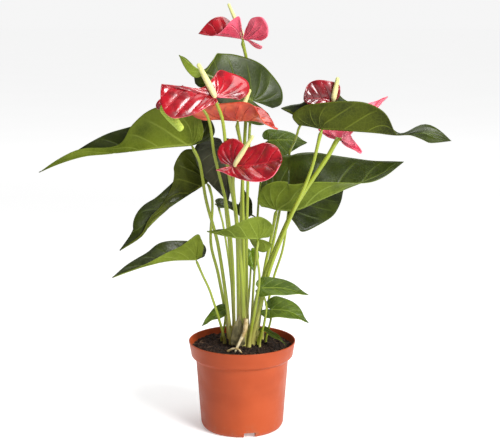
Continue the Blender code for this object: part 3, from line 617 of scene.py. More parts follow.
def blade_piece(name, blade, outline, thickness, rows, columns, upper, under):
    """A thin closed blade with its own map: u across it and v from the lobes to the tip."""
    points = placed(blade["midrib"])
    mesh = bmesh.new()
    mesh.loops.layers.uv.new("UVMap")
    bmesh.ops.create_grid(
        mesh, x_segments=2 * columns, y_segments=rows, size=1.0, calc_uvs=True,
    )
    for vertex in mesh.verts:
        across, around = vertex.co.x, (vertex.co.y + 1) / 2
        vertex.co = blade_point(blade, points, outline, around, across) * MM
    bmesh.ops.remove_doubles(mesh, verts=mesh.verts, dist=0.03 * MM)
    bmesh.ops.dissolve_degenerate(mesh, edges=mesh.edges, dist=0.03 * MM)
    piece = new_piece(name, mesh, (upper, under))
    wall = piece.modifiers.new("Thickness", "SOLIDIFY")
    wall.thickness = thickness * MM
    wall.offset = 0.0
    wall.material_offset = 1
    wall.material_offset_rim = 1
    return piece


# ---------------------------------------------------------------- tubes

def frames_along(centres):
    """Two directions across a tube at each centre, carried along it without twisting."""
    frames = []
    across = Vector((1, 0, 0))
    for i, centre in enumerate(centres):
        ahead = centres[min(i + 1, len(centres) - 1)] - centres[max(i - 1, 0)]
        if ahead.length < 1e-6:
            ahead = centres[min(i + 2, len(centres) - 1)] - centres[max(i - 2, 0)]
        ahead.normalize()
        across = (across - ahead * across.dot(ahead)).normalized()
        frames.append((centre, across, ahead.cross(across)))
    return frames


def add_tube(mesh, centres, radii, sides, relief=None, layer=None):
    """A closed tube added to the mesh: u round it and v along it. Its end radii are 0."""
    rings = len(centres) - 1
    made = bmesh.ops.create_grid(
        mesh, x_segments=sides, y_segments=rings, size=1.0, calc_uvs=True,
    )["verts"]
    frames = frames_along(centres)
    for vertex in made:
        around, along = (vertex.co.x + 1) / 2, (vertex.co.y + 1) / 2
        ring = round(along * rings)
        centre, across, other = frames[ring]
        radius = radii[ring]
        if relief and radius > 0:
            height, mark = relief(around, along)
            radius += height
            vertex[layer] = mark
        turn = math.tau * around
        out = across * math.cos(turn) + other * math.sin(turn)
        vertex.co = (centre + out * radius) * MM
    bmesh.ops.remove_doubles(mesh, verts=made, dist=0.005 * MM)


def tube_mesh():
    mesh = bmesh.new()
    mesh.loops.layers.uv.new("UVMap")
    return mesh


def rounded_ends(shares, radii):
    """Adds a closing point at each end of a tube."""
    return [shares[0], *shares, shares[-1]], [0.0, *radii, 0.0]


def stem_piece(name, stem, blade, thickness, finish):
    """A stem from inside the soil up to the blade, thicker at its joint and at its foot."""
    points = placed(blade["midrib"])
    along, _, up = frame_at(blade, points, 0.0)
    foot_radius, top_radius = stem["radii"]
    top = points[0] - up * thickness * 0.3
    neck = top - up * top_radius * 1.6 - along * top_radius * 0.6
    foot = Vector((*stem["foot"], SOIL_TOP - STEM_BURIED))
    knee = foot + Vector((0, 0, KNEE_RISE))
    route = [top, neck, *placed(stem["via"]), knee, foot]
    joint = JOINT_LENGTH / length_of(route)
    shares = [i / (STEM_RINGS - 1) for i in range(STEM_RINGS)]
    radii = []
    for share in shares:
        radius = top_radius + (foot_radius - top_radius) * share
        radius *= 1 + 0.22 * ease(1 - abs(share - joint * 0.7) / joint)
        radius *= 1 + 0.45 * ease((share - 0.86) / 0.1)
        radii.append(radius)
    radii[0] = top_radius * 0.55
    shares, radii = rounded_ends(shares, radii)
    mesh = tube_mesh()
    centres = [smooth_point(route, share) for share in shares]
    add_tube(mesh, centres, radii, STEM_SIDES)
    bmesh.ops.recalc_face_normals(mesh, faces=mesh.faces)
    return new_piece(name, mesh, (finish,))


def spadix_piece(name, flower, finish):
    """A finger of small round florets set in a diamond lattice, thinning to a blunt end."""
    points = placed(flower["midrib"])
    _, _, up = frame_at(flower, points, 0.0)
    radius = flower["spadix_radius"]
    tip = Vector(flower["spadix_tip"]) + PLANT_LIFT
    base = points[0]
    shoulder = base + up * radius * 0.6 + (tip - base).normalized() * radius
    route = [base, shoulder, (shoulder + tip) / 2, tip]
    length = length_of(route)
    floret = flower.get("floret", FLORET)
    florets_round = max(round(math.tau * radius / floret / 1.2), 6)
    florets_along = round(length / floret)
    count = florets_along * 5
    shares, radii = [], []
    for i in range(count):
        share = i / (count - 1)
        size = 0.72 + 0.28 * ease(share / 0.18) - 0.30 * ease((share - 0.35) / 0.6)
        left = (1 - share) * length / (radius * size)
        if left < 1:
            size *= math.sqrt(max(1 - (1 - left) ** 2, 0.0))
        shares.append(share)
        radii.append(radius * max(size, 0.02))
    shares, radii = rounded_ends(shares, radii)
    depth = flower.get("floret_depth", FLORET_DEPTH) * floret

    def florets(around, along):
        first = math.pi * (florets_round * around + florets_along * along)
        second = math.pi * (florets_round * around - florets_along * along)
        mark = abs(math.cos(first) * math.cos(second)) ** 0.7
        return depth * (mark - 0.5) * ease((1.0 - along) / 0.06), mark

    mesh = tube_mesh()
    layer = mesh.verts.layers.float.new("floret")
    centres = [smooth_point(route, share) for share in shares]
    add_tube(mesh, centres, radii, florets_round * 6, florets, layer)
    bmesh.ops.recalc_face_normals(mesh, faces=mesh.faces)
    return new_piece(name, mesh, (finish,))


# ---------------------------------------------------------------- pot and soil

def body_top_radius():
    """Outer radius of the pot's body just below the rim band."""
    return RIM_RADIUS - RIM_TAPER - RIM_STEP


def wall_radius(height):
    """Outer radius of the pot's body at a height below the rim band."""
    top = POT_HEIGHT - RIM_BAND - RIM_STEP_HEIGHT
    share = (height - BASE_CHAMFER) / (top - BASE_CHAMFER)
    return BASE_RADIUS + (body_top_radius() - BASE_RADIUS) * share


def rounded(corners):
    """Half section with each (radius, height, rounding) corner turned by a small arc."""
    section = []
    for i, (x, z, rounding) in enumerate(corners):
        corner = Vector((x, 0, z))
        if rounding == 0:
            section.append(corner)
            continue
        before = Vector((corners[i - 1][0], 0, corners[i - 1][1])) - corner
        after = Vector((corners[i + 1][0], 0, corners[i + 1][1])) - corner
        start = corner + before.normalized() * min(rounding, before.length / 2)
        end = corner + after.normalized() * min(rounding, after.length / 2)
        for k in range(6):
            t = k / 5
            section.append(start * (1 - t) ** 2 + corner * 2 * t * (1 - t) + end * t**2)
    return section


def pot_section():
    """Half section of the pot, from the axis under the base, up the outside and down the inside."""
    band_foot = POT_HEIGHT - RIM_BAND
    step_foot = band_foot - RIM_STEP_HEIGHT
    foot_inner = BASE_RADIUS - BASE_CHAMFER - FOOT_WIDTH
    floor = RECESS + WALL
    return rounded((
        (0, RECESS, 0),
        (foot_inner, RECESS, 1.0),
        (foot_inner, 0, 0.8),
        (BASE_RADIUS - BASE_CHAMFER, 0, 1.4),
        (BASE_RADIUS, BASE_CHAMFER + 1, 2.5),
        (body_top_radius(), step_foot, 1.2),
        (RIM_RADIUS - RIM_TAPER, band_foot, 1.2),
        (RIM_RADIUS, POT_HEIGHT, 0.75),
        (RIM_RADIUS - WALL, POT_HEIGHT, 0.75),
        (RIM_RADIUS - RIM_TAPER - WALL, band_foot + WALL, 1.2),
        (body_top_radius() - WALL, step_foot + WALL, 1.2),
        (wall_radius(floor) - WALL, floor, 1.5),
        (0, floor, 0),
    ))


def spun(section, sides):
    """A closed solid turned round Z from a half section that starts and ends on the axis."""
    mesh = bmesh.new()
    points = [mesh.verts.new(point * MM) for point in section]
    edges = [mesh.edges.new(pair) for pair in zip(points, points[1:])]
    bmesh.ops.spin(
        mesh, geom=points + edges, cent=(0, 0, 0), axis=(0, 0, 1),
        angle=math.tau, steps=sides, use_merge=True,
    )
    bmesh.ops.remove_doubles(mesh, verts=mesh.verts, dist=0.005 * MM)
    bmesh.ops.recalc_face_normals(mesh, faces=mesh.faces)
    return mesh


def notch_blocks():
    """Blocks across the base's edge, where water leaves under the pot."""
    shape = bmesh.new()
    for i in range(NOTCH_COUNT):
        turn = NOTCH_TURN + i * math.tau / NOTCH_COUNT
        corners = bmesh.ops.create_cube(shape, size=1.0)["verts"]
        size = Vector((4 * FOOT_WIDTH, NOTCH_WIDTH, 2 * NOTCH_HEIGHT)) * MM
        bmesh.ops.scale(shape, vec=size, verts=corners)
        bmesh.ops.translate(shape, vec=(BASE_RADIUS * MM, 0, 0), verts=corners)
        bmesh.ops.rotate(shape, cent=(0, 0, 0), matrix=Matrix.Rotation(turn, 3, "Z"), verts=corners)
    return shape


def drain_holes():
    """Round plugs through the floor of the pot."""
    shape = bmesh.new()
    for i in range(DRAIN_COUNT):
        turn = (i + 0.5) * math.tau / DRAIN_COUNT
        ring = bmesh.ops.create_cone(
            shape, segments=24, cap_ends=True, radius1=DRAIN_RADIUS * MM,
            radius2=DRAIN_RADIUS * MM, depth=8 * WALL * MM,
        )["verts"]
        centre = Vector((DRAIN_CIRCLE * math.cos(turn), DRAIN_CIRCLE * math.sin(turn), RECESS)) * MM
        bmesh.ops.translate(shape, vec=centre, verts=ring)
    return shape


def cut_away(piece, shapes):
    """Takes each closed shape away from the piece and keeps the result as its mesh."""
    tools = []
    for shape in shapes:
        tool = new_piece("cutter", shape, ())
        cut = piece.modifiers.new("Cut", "BOOLEAN")
        cut.operation = "DIFFERENCE"
        cut.solver = "EXACT"
        cut.object = tool
        tools.append(tool)
    graph = bpy.context.evaluated_depsgraph_get()
    result = bpy.data.meshes.new_from_object(piece.evaluated_get(graph))
    piece.modifiers.clear()
    piece.data = result
    for tool in tools:
        bpy.data.objects.remove(tool)


def pot_piece(finish):
    pot = new_piece("pot_shell", spun(pot_section(), POT_SIDES), (finish,))
    cut_away(pot, (notch_blocks(), drain_holes()))
    pot.data.set_sharp_from_angle(angle=math.radians(35))
    return pot


def soil_height(x, y):
    """Height of the compost at a place, with its clods and hollows."""
    radius = math.hypot(x, y)
    fall = ease((radius - CROWN_RADIUS * 0.7) / (SOIL_RADIUS - CROWN_RADIUS * 0.7))
    height = SOIL_TOP - CLOD_SINK - (SOIL_TOP - SOIL_EDGE - CLOD_SINK) * fall
    spot = Vector((x, y, 0))
    clods = noise.noise(spot / 9.0) * 1.6 + abs(noise.noise(spot / 4.0)) * 2.0
    grit = noise.noise(spot / 1.7) * 0.7
    return height + (clods + grit) * CLOD_SHARE


def soil_piece(finish):
    """The mound of compost, closed down inside the pot."""
    floor = RECESS + WALL + 0.3
    step_foot = POT_HEIGHT - RIM_BAND - RIM_STEP_HEIGHT
    reaches = [SOIL_RADIUS * i / SOIL_RINGS for i in range(SOIL_RINGS + 1)]
    top = [Vector((reach, 0, SOIL_TOP)) for reach in reaches]
    side = [
        Vector((body_top_radius() - WALL - SOIL_GAP, 0, step_foot)),
        Vector((wall_radius(floor) - WALL - SOIL_GAP, 0, floor)),
        Vector((0, 0, floor)),
    ]
    mesh = spun(top + side, SOIL_SIDES)
    for vertex in mesh.verts:
        if vertex.co.z > (SOIL_TOP - 1) * MM:
            vertex.co.z = soil_height(vertex.co.x / MM, vertex.co.y / MM) * MM
    return new_piece("compost", mesh, (finish,))


def crumbs_piece(finish):
    """Loose crumbs of compost on the mound."""
    rng = random.Random(CRUMB_SEED)
    lump = bmesh.new()
    bmesh.ops.create_icosphere(lump, subdivisions=1, radius=1.0)
    crumb = bpy.data.meshes.new("crumb")
    lump.to_mesh(crumb)
    corners = [vertex.co.copy() for vertex in lump.verts]
    lump.free()
    mesh = bmesh.new()
    for _ in range(CRUMBS):
        turn = rng.uniform(0, math.tau)
        radius = SOIL_RADIUS * 0.985 * math.sqrt(rng.random())
        size = 0.5 + 1.6 * rng.random() ** 3
        x, y = radius * math.cos(turn), radius * math.sin(turn)
        centre = Vector((x, y, soil_height(x, y) + size * 0.2))
        stretch = Vector((rng.uniform(0.7, 1.5), rng.uniform(0.7, 1.2), rng.uniform(0.5, 0.9)))
        spin = Matrix.Rotation(rng.uniform(0, math.tau), 3, "Z")
        for vertex, corner in zip(crumb.vertices, corners):
            uneven = corner * stretch * (size * rng.uniform(0.7, 1.2))
            vertex.co = (spin @ uneven + centre) * MM
        mesh.from_mesh(crumb)
    bpy.data.meshes.remove(crumb)
    return new_piece("compost_crumbs", mesh, (finish,))


def fibres_piece(finish):
    """Thin peat fibres and bits of root lying on the mound."""
    rng = random.Random(FIBRE_SEED)
    mesh = tube_mesh()
    for _ in range(FIBRES):
        turn = rng.uniform(0, math.tau)
        radius = SOIL_RADIUS * 0.93 * math.sqrt(rng.random())
        heading = rng.uniform(0, math.tau)
        length = rng.uniform(4, 13)
        bend = rng.uniform(-0.8, 0.8)
        start = Vector((radius * math.cos(turn), radius * math.sin(turn), 0))
        places = []
        last = FIBRE_POINTS - 1
        for k in range(FIBRE_POINTS):
            angle = heading + bend * k / last
            start = start + Vector((math.cos(angle), math.sin(angle), 0)) * length / last
            if start.length > SOIL_RADIUS * 0.97:
                start *= SOIL_RADIUS * 0.97 / start.length
            lift = 0.35 + 0.5 * math.sin(math.pi * k / last)
            places.append(Vector((start.x, start.y, soil_height(start.x, start.y) + lift)))
        thickness = rng.uniform(0.15, 0.32)
        radii = [0.0, *[thickness] * (FIBRE_POINTS - 2), 0.0]
        add_tube(mesh, places, radii, 5)
    bmesh.ops.recalc_face_normals(mesh, faces=mesh.faces)
    return new_piece("peat_fibres", mesh, (finish,))


def root_piece(name, root, finish):
    """A pale fleshy root, thinning to its tip."""
    route = placed(root["route"])
    shares = [i / (ROOT_RINGS - 1) for i in range(ROOT_RINGS)]
    start, end = root["radii"]
    radii = []
    for share in shares:
        radius = start + (end - start) * share
        spot = Vector((share * 9, start * 3, 0))
        radii.append(radius * (1 + 0.16 * noise.noise(spot)) * min(1.0, 0.5 + 6 * (1 - share)))
    shares, radii = rounded_ends(shares, radii)
    mesh = tube_mesh()
    add_tube(mesh, [smooth_point(route, share) for share in shares], radii, 12)
    bmesh.ops.recalc_face_normals(mesh, faces=mesh.faces)
    return new_piece(name, mesh, (finish,))


# ---------------------------------------------------------------- finishes

class Recipe:
    """One material and the nodes that it is made of."""

    def __init__(self, name):
        self.material = bpy.data.materials.new(name)
        self.material.use_nodes = True
        self.tree = self.material.node_tree
        self.shader = self.tree.nodes["Principled BSDF"]
        place = self.add("TexCoord")
        self.object = place.outputs["Object"]
        self.map = place.outputs["UV"]

    def add(self, kind, inputs=(), **settings):
        node = self.tree.nodes.new("ShaderNode" + kind)
        for key, value in settings.items():
            setattr(node, key, value)
        for socket, value in dict(inputs).items():
            if isinstance(value, bpy.types.NodeSocket):
                self.tree.links.new(value, node.inputs[socket])
            else:
                node.inputs[socket].default_value = value
        return node

    def math(self, operation, first, second=0.0):
        return self.add("Math", {0: first, 1: second}, operation=operation).outputs[0]

    def times(self, first, second):
        return self.math("MULTIPLY", first, second)

    def plus(self, first, second):
        return self.math("ADD", first, second)

    def band(self, value, low, high, start=0.0, end=1.0):
        """Eases from start to end while the value goes from low to high."""
        inputs = {0: value, 1: low, 2: high, 3: start, 4: end}
        return self.add("MapRange", inputs, interpolation_type="SMOOTHSTEP").outputs[0]

    def patches(self, scale, low=0.35, high=0.65, detail=3.0, place=None, stretch=None):
        """Soft noise from 0 to 1 over the surface."""
        place = place or self.object
        if stretch:
            place = self.add("Mapping", {"Vector": place, "Scale": stretch}).outputs[0]
        inputs = {"Vector": place, "Scale": scale, "Detail": detail}
        return self.band(self.add("TexNoise", inputs).outputs["Fac"], low, high)

    def blend(self, share, first, second):
        """Colour between two colours."""
        inputs = {0: share, 6: first, 7: second}  # the mix of colours has sockets 6 and 7
        for key in (6, 7):
            if not isinstance(inputs[key], bpy.types.NodeSocket):
                inputs[key] = (*inputs[key], 1.0)
        return self.add("Mix", inputs, data_type="RGBA").outputs[2]

    def tint(self, colour, other, share, amount):
        """Colour turned towards another by an amount of the share at each place."""
        return self.blend(self.times(share, amount), colour, other)

    def finish(self, colour, roughness, height=None, distance=0.3, strength=1.0, **sockets):
        """Joins colour, roughness and a bump height in millimetres to the shader."""
        self.tree.links.new(colour, self.shader.inputs["Base Color"])
        if isinstance(roughness, bpy.types.NodeSocket):
            self.tree.links.new(roughness, self.shader.inputs["Roughness"])
        else:
            self.shader.inputs["Roughness"].default_value = roughness
        if height is not None:
            inputs = {"Height": height, "Distance": distance * MM, "Strength": strength}
            bump = self.add("Bump", inputs)
            self.tree.links.new(bump.outputs[0], self.shader.inputs["Normal"])
        for socket, value in sockets.items():
            self.shader.inputs[socket.replace("_", " ")].default_value = value
        return self.material


def vein_marks(recipe):
    """Shares of midrib, side vein, fine vein and margin at each place of a blade's map."""
    place = recipe.add("SeparateXYZ", {0: recipe.map})
    across = recipe.math("ABSOLUTE", recipe.math("SUBTRACT", place.outputs[0], 0.5))
    across = recipe.times(across, 2.0)
    count = recipe.times(place.outputs[1], float(VEINS))
    count = recipe.math("SUBTRACT", count, recipe.times(across, VEIN_SLANT))
    nearest = recipe.math("PINGPONG", count, 0.5)
    side = recipe.band(nearest, 0.0, 0.085, 1.0, 0.0)
    side = recipe.times(side, recipe.band(across, 0.97, 0.6))
    midrib = recipe.band(across, 0.02, 0.075, 1.0, 0.0)
    margin = recipe.band(across, 0.955, 0.99)
    inputs = {"Vector": recipe.object, "Scale": 230.0}
    cells = recipe.add("TexVoronoi", inputs, feature="DISTANCE_TO_EDGE")
    fine = recipe.band(cells.outputs["Distance"], 0.0, 0.13, 1.0, 0.0)
    return midrib, side, fine, margin


def leaf_upper(name, dark, light, vein):
    """Satin upper side of a leaf, with sunken veins paler than the skin between them."""
    recipe = Recipe(name)
    midrib, side, fine, margin = vein_marks(recipe)
    colour = recipe.blend(recipe.patches(26.0, 0.38, 0.62), dark, light)
    deep = tuple(part * 0.62 for part in dark)
    colour = recipe.tint(colour, deep, recipe.patches(90.0), 0.45)
    colour = recipe.tint(colour, vein, fine, 0.10)
    colour = recipe.tint(colour, vein, side, 0.5)
    colour = recipe.tint(colour, vein, midrib, 0.8)
    colour = recipe.tint(colour, vein, margin, 0.5)
    roughness = recipe.band(recipe.patches(60.0), 0.0, 1.0, 0.30, 0.44)
    height = recipe.times(side, -0.6)
    height = recipe.math("SUBTRACT", height, recipe.times(fine, 0.09))
    height = recipe.plus(height, recipe.times(recipe.patches(900.0), 0.12))
    return recipe.finish(colour, roughness, height, 0.45, 0.9, Specular_IOR_Level=0.24)


def leaf_under(name, shade, pale, vein):
    """Dull underside of a leaf, with raised veins."""
    recipe = Recipe(name)
    midrib, side, fine, margin = vein_marks(recipe)
    colour = recipe.blend(recipe.patches(30.0, 0.36, 0.64), shade, pale)
    colour = recipe.tint(colour, vein, fine, 0.14)
    colour = recipe.tint(colour, vein, side, 0.6)
    colour = recipe.tint(colour, vein, midrib, 0.9)
    colour = recipe.tint(colour, vein, margin, 0.35)
    roughness = recipe.band(recipe.patches(70.0), 0.0, 1.0, 0.42, 0.56)
    height = recipe.plus(recipe.times(side, 0.7), recipe.times(midrib, 1.0))
    height = recipe.plus(height, recipe.times(fine, 0.12))
    return recipe.finish(colour, roughness, height, 0.45, 0.9, Specular_IOR_Level=0.12)


def spathe_side(name, deep, bright, vein, roughness, coat):
    """Waxy side of a spathe, quilted between its veins."""
    recipe = Recipe(name)
    midrib, side, _, margin = vein_marks(recipe)
    colour = recipe.blend(recipe.patches(55.0, 0.38, 0.62, 5.0), deep, bright)
    colour = recipe.tint(colour, vein, side, 0.55)
    colour = recipe.tint(colour, vein, midrib, 0.5)
    colour = recipe.tint(colour, vein, margin, 0.5)
    rough = recipe.band(recipe.patches(120.0), 0.0, 1.0, roughness, roughness + 0.12)
    height = recipe.times(side, -1.2)
    height = recipe.plus(height, recipe.patches(70.0, 0.25, 0.75, 1.5))
    return recipe.finish(
        colour, rough, height, 0.8, 0.9, Specular_IOR_Level=0.45,
        Coat_Weight=coat, Coat_Roughness=0.09,
    )


def stem_finish(name, foot, middle, top):
    """Smooth stem, paler at its foot and darker at its joint, with faint streaks along it."""
    recipe = Recipe(name)
    place = recipe.add("SeparateXYZ", {0: recipe.map})
    along = place.outputs[1]
    streaks = recipe.patches(5.0, 0.35, 0.65, 4.0, recipe.map, (5.0, 1.2, 1.0))
    dark = tuple(part * 0.72 for part in middle)
    colour = recipe.tint(middle, dark, streaks, 0.6)
    colour = recipe.tint(colour, top, recipe.patches(35.0, 0.4, 0.7), 0.35)
    colour = recipe.blend(recipe.band(along, 0.08, 0.02), colour, top)
    colour = recipe.blend(recipe.band(along, 0.72, 0.96), colour, foot)
    roughness = recipe.band(streaks, 0.0, 1.0, 0.34, 0.48)
    ridges = recipe.patches(26.0, 0.3, 0.7, 2.0, recipe.map, (1.0, 0.05, 1.0))
    return recipe.finish(colour, roughness, ridges, 0.12, 0.7, Specular_IOR_Level=0.5)


def spadix_finish(name, furrow_shade, floret, tip):
    """Florets with painted shade in the furrows between them and a pale dot on each, turning colour
    upwards.
    """
    recipe = Recipe(name)
    mark = recipe.add("Attribute", attribute_name="floret").outputs["Fac"]
    place = recipe.add("SeparateXYZ", {0: recipe.map})
    body = recipe.blend(recipe.band(place.outputs[1], 0.35, 0.95), floret, tip)
    # The furrows between the florets take the darker first colour: painted shade.
    colour = recipe.blend(recipe.band(mark, 0.2, 0.65), furrow_shade, body)
    centre = tuple(min(part * 1.25, 1.0) for part in tip)
    colour = recipe.tint(colour, centre, recipe.band(mark, 0.86, 0.98), 0.6)
    return recipe.finish(colour, 0.5, recipe.patches(1500.0), 0.05, 0.5)


def plastic_finish(name):
    """Satin moulded terracotta plastic with fine grain, faint flow marks and a little dust."""
    recipe = Recipe(name)
    warm, deep = (0.41, 0.068, 0.016), (0.33, 0.050, 0.011)
    colour = recipe.blend(recipe.patches(14.0, 0.35, 0.65), deep, warm)
    flow = recipe.patches(9.0, 0.4, 0.7, 4.0, None, (1.0, 1.0, 7.0))
    colour = recipe.tint(colour, (0.48, 0.095, 0.028), flow, 0.14)
    height_above = recipe.add("SeparateXYZ", {0: recipe.object}).outputs[2]
    dust = recipe.times(recipe.patches(120.0, 0.5, 0.75), recipe.band(height_above, 0.02, 0.0))
    colour = recipe.tint(colour, (0.30, 0.14, 0.08), dust, 0.5)
    roughness = recipe.band(recipe.patches(45.0), 0.0, 1.0, 0.36, 0.48)
    grain = recipe.patches(1400.0, 0.3, 0.7, 2.0)
    grain = recipe.plus(grain, recipe.times(recipe.patches(60.0), 1.2))
    return recipe.finish(colour, roughness, grain, 0.06, 0.6, Specular_IOR_Level=0.22)


def compost_finish(name, dark, light, speck):
    """Rough damp peat with small lighter specks."""
    recipe = Recipe(name)
    colour = recipe.blend(recipe.patches(260.0, 0.3, 0.7, 5.0), dark, light)
    colour = recipe.tint(colour, speck, recipe.patches(700.0, 0.62, 0.74), 0.8)
    rough = recipe.band(recipe.patches(200.0), 0.0, 1.0, 0.72, 0.98)
    height = recipe.plus(recipe.patches(500.0, 0.2, 0.8, 5.0), recipe.patches(1500.0))
    return recipe.finish(colour, rough, height, 0.8, 1.0, Specular_IOR_Level=0.35)


def fibre_finish(name, dark, light):
    """Dull dry fibre, blotched between two tones."""
    recipe = Recipe(name)
    colour = recipe.blend(recipe.patches(160.0, 0.35, 0.65, 4.0), dark, light)
    return recipe.finish(colour, 0.7, recipe.patches(900.0, place=recipe.map), 0.08, 0.6)


def floor_finish():
    """Plain white floor that glows more far from the plant, where the lamps don't reach."""
    recipe = Recipe("studio_floor")
    colour = recipe.blend(recipe.patches(3.0), (0.86, 0.86, 0.86), (0.88, 0.88, 0.88))
    distance = recipe.add("VectorMath", {0: recipe.object}, operation="LENGTH").outputs["Value"]
    glow = recipe.band(distance, *FLOOR_GLOW_REACH, *FLOOR_GLOW)
    recipe.tree.links.new(glow, recipe.shader.inputs["Emission Strength"])
    return recipe.finish(colour, 0.9, Emission_Color=(1.0, 1.0, 1.0, 1.0), Specular_IOR_Level=0.1)


# ---------------------------------------------------------------- the whole plant

LEAF_TONES = {
    "dark": dict(
        upper=((0.011, 0.017, 0.001), (0.026, 0.037, 0.002), (0.07, 0.095, 0.012)),
        under=((0.080, 0.108, 0.007), (0.130, 0.170, 0.012), (0.23, 0.28, 0.04)),
    ),
    # The deep tone is the dark tone with a much darker underside: painted shade on undersides seen
    # in shadow.
    "deep": dict(
        upper=((0.011, 0.017, 0.001), (0.028, 0.040, 0.002), (0.07, 0.10, 0.012)),
        under=((0.020, 0.026, 0.001), (0.046, 0.057, 0.002), (0.12, 0.145, 0.014)),
    ),
    "middle": dict(
        upper=((0.020, 0.032, 0.002), (0.040, 0.060, 0.003), (0.10, 0.135, 0.018)),
        under=((0.070, 0.098, 0.006), (0.120, 0.160, 0.012), (0.20, 0.26, 0.04)),
    ),
    "fresh_dark": dict(
        upper=((0.050, 0.088, 0.006), (0.100, 0.155, 0.010), (0.20, 0.27, 0.03)),
        under=((0.13, 0.18, 0.015), (0.19, 0.25, 0.03), (0.32, 0.38, 0.08)),
    ),
    "fresh": dict(
        upper=((0.10, 0.19, 0.008), (0.17, 0.28, 0.014), (0.32, 0.42, 0.05)),
        under=((0.22, 0.29, 0.04), (0.30, 0.38, 0.06), (0.42, 0.48, 0.12)),
    ),
    # Grey tone over both sides of the centre left leaf: a painted sheen.
    "painted_sheen_grey": dict(
        upper=((0.022, 0.024, 0.012), (0.045, 0.045, 0.024), (0.09, 0.10, 0.05)),
        under=((0.08, 0.09, 0.03), (0.13, 0.14, 0.05), (0.22, 0.24, 0.10)),
    ),
}
LEAF_TONE_OF = {
    "bright_back_leaf": "fresh_dark", "inner_leaf": "fresh", "small_right_leaf": "fresh_dark",
    "low_right_leaf": "fresh_dark", "low_left_small_leaf": "fresh_dark", "soil_leaf": "middle",
    "front_leaf": "middle", "middle_right_leaf": "middle", "centre_left_leaf": "painted_sheen_grey",
    # The high right, middle left and back right leaves take the deep tone, whose underside is
    # painted shade.
    "high_back_leaf": "middle", "high_right_leaf": "deep", "middle_left_leaf": "deep",
    "back_right_leaf": "deep",
}
SPATHE_TONES = {
    "red": ((0.16, 0.001, 0.005), (0.36, 0.003, 0.011), (0.52, 0.016, 0.028)),
    "deep": ((0.10, 0.001, 0.003), (0.22, 0.002, 0.008), (0.34, 0.010, 0.02)),
    "orange": ((0.32, 0.014, 0.005), (0.56, 0.065, 0.020), (0.40, 0.018, 0.006)),
}
SPATHE_UNDERS = {
    "red": ((0.66, 0.050, 0.10), (0.86, 0.11, 0.18), (0.90, 0.20, 0.27)),
    "deep": ((0.26, 0.006, 0.02), (0.42, 0.018, 0.045), (0.52, 0.06, 0.08)),
    "orange": ((0.44, 0.030, 0.012), (0.66, 0.11, 0.04), (0.48, 0.030, 0.012)),
}
SPATHE_TONE_OF = {"orange": "orange", "right": "deep"}
SPADIX_TONES = {
    # The first colour of each is painted shade for the furrows between the florets.
    "cream": ((0.50, 0.42, 0.12), (0.80, 0.74, 0.40), (0.62, 0.68, 0.26)),
    "green": ((0.20, 0.32, 0.02), (0.45, 0.60, 0.05), (0.55, 0.66, 0.10)),
}
STEM_TONES = ((0.50, 0.46, 0.12), (0.28, 0.34, 0.022), (0.19, 0.25, 0.014))
PEAT_TONES = ((0.010, 0.005, 0.003), (0.042, 0.020, 0.011), (0.12, 0.07, 0.04))
CRUMB_TONES = ((0.016, 0.008, 0.005), (0.070, 0.036, 0.020), (0.16, 0.10, 0.06))
ROOTS = {
    "crown_root": dict(
        route=((5, -24, 128), (3, -27, 114), (-3, -31, 102), (-8, -34, 92)), radii=(2.9, 1.1),
    ),
    "loose_root": dict(
        route=((-16, -36, 94), (-10, -38, 97.5), (-4, -40, 97.5), (0, -42, 94)), radii=(1.3, 1.0),
    ),
}


def stand_in(piece, slot, *nodes):
    """The piece rides on the one body, and the frame nodes that it stands for are hidden. Its slot
    is not used.
    """
    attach(piece, "root")
    if nodes:
        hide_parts(*nodes)


def build_pot():
    stand_in(pot_piece(plastic_finish("terracotta_plastic")), "pot", "pot")
    peat = compost_finish("peat", *PEAT_TONES)
    stand_in(soil_piece(peat), "soil", "soil")
    crumb = compost_finish("peat_crumb", *CRUMB_TONES)
    stand_in(crumbs_piece(crumb), "soil")
    fibre = fibre_finish("peat_fibre", (0.06, 0.03, 0.015), (0.22, 0.13, 0.07))
    stand_in(fibres_piece(fibre), "soil")
    pale = fibre_finish("root_skin", (0.36, 0.25, 0.09), (0.74, 0.64, 0.40))
    for name, root in ROOTS.items():
        stand_in(root_piece(name, root, pale), "stem")


def grid_size(rows, columns):
    return ((rows, columns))


def build_leaves(stems):
    uppers, unders = {}, {}
    for tone, colours in LEAF_TONES.items():
        uppers[tone] = leaf_upper("leaf_upper_" + tone, *colours["upper"])
        unders[tone] = leaf_under("leaf_under_" + tone, *colours["under"])
    for name, leaf in LEAVES.items():
        tone = LEAF_TONE_OF.get(name, "dark")
        big = leaf["half_width"][0] > SMALL_LEAF
        rows, columns = grid_size(*(LEAF_GRID if big else SMALL_LEAF_GRID))
        piece = blade_piece(
            name + "_blade", leaf, LEAF_OUTLINE, LEAF_THICKNESS, rows, columns,
            uppers[tone], unders[tone],
        )
        stand_in(piece, "leaf", name)
        petiole = name.replace("leaf", "petiole")
        stem = stem_piece(petiole + "_stem", PETIOLES[name], leaf, LEAF_THICKNESS, stems)
        stand_in(stem, "stem", petiole)


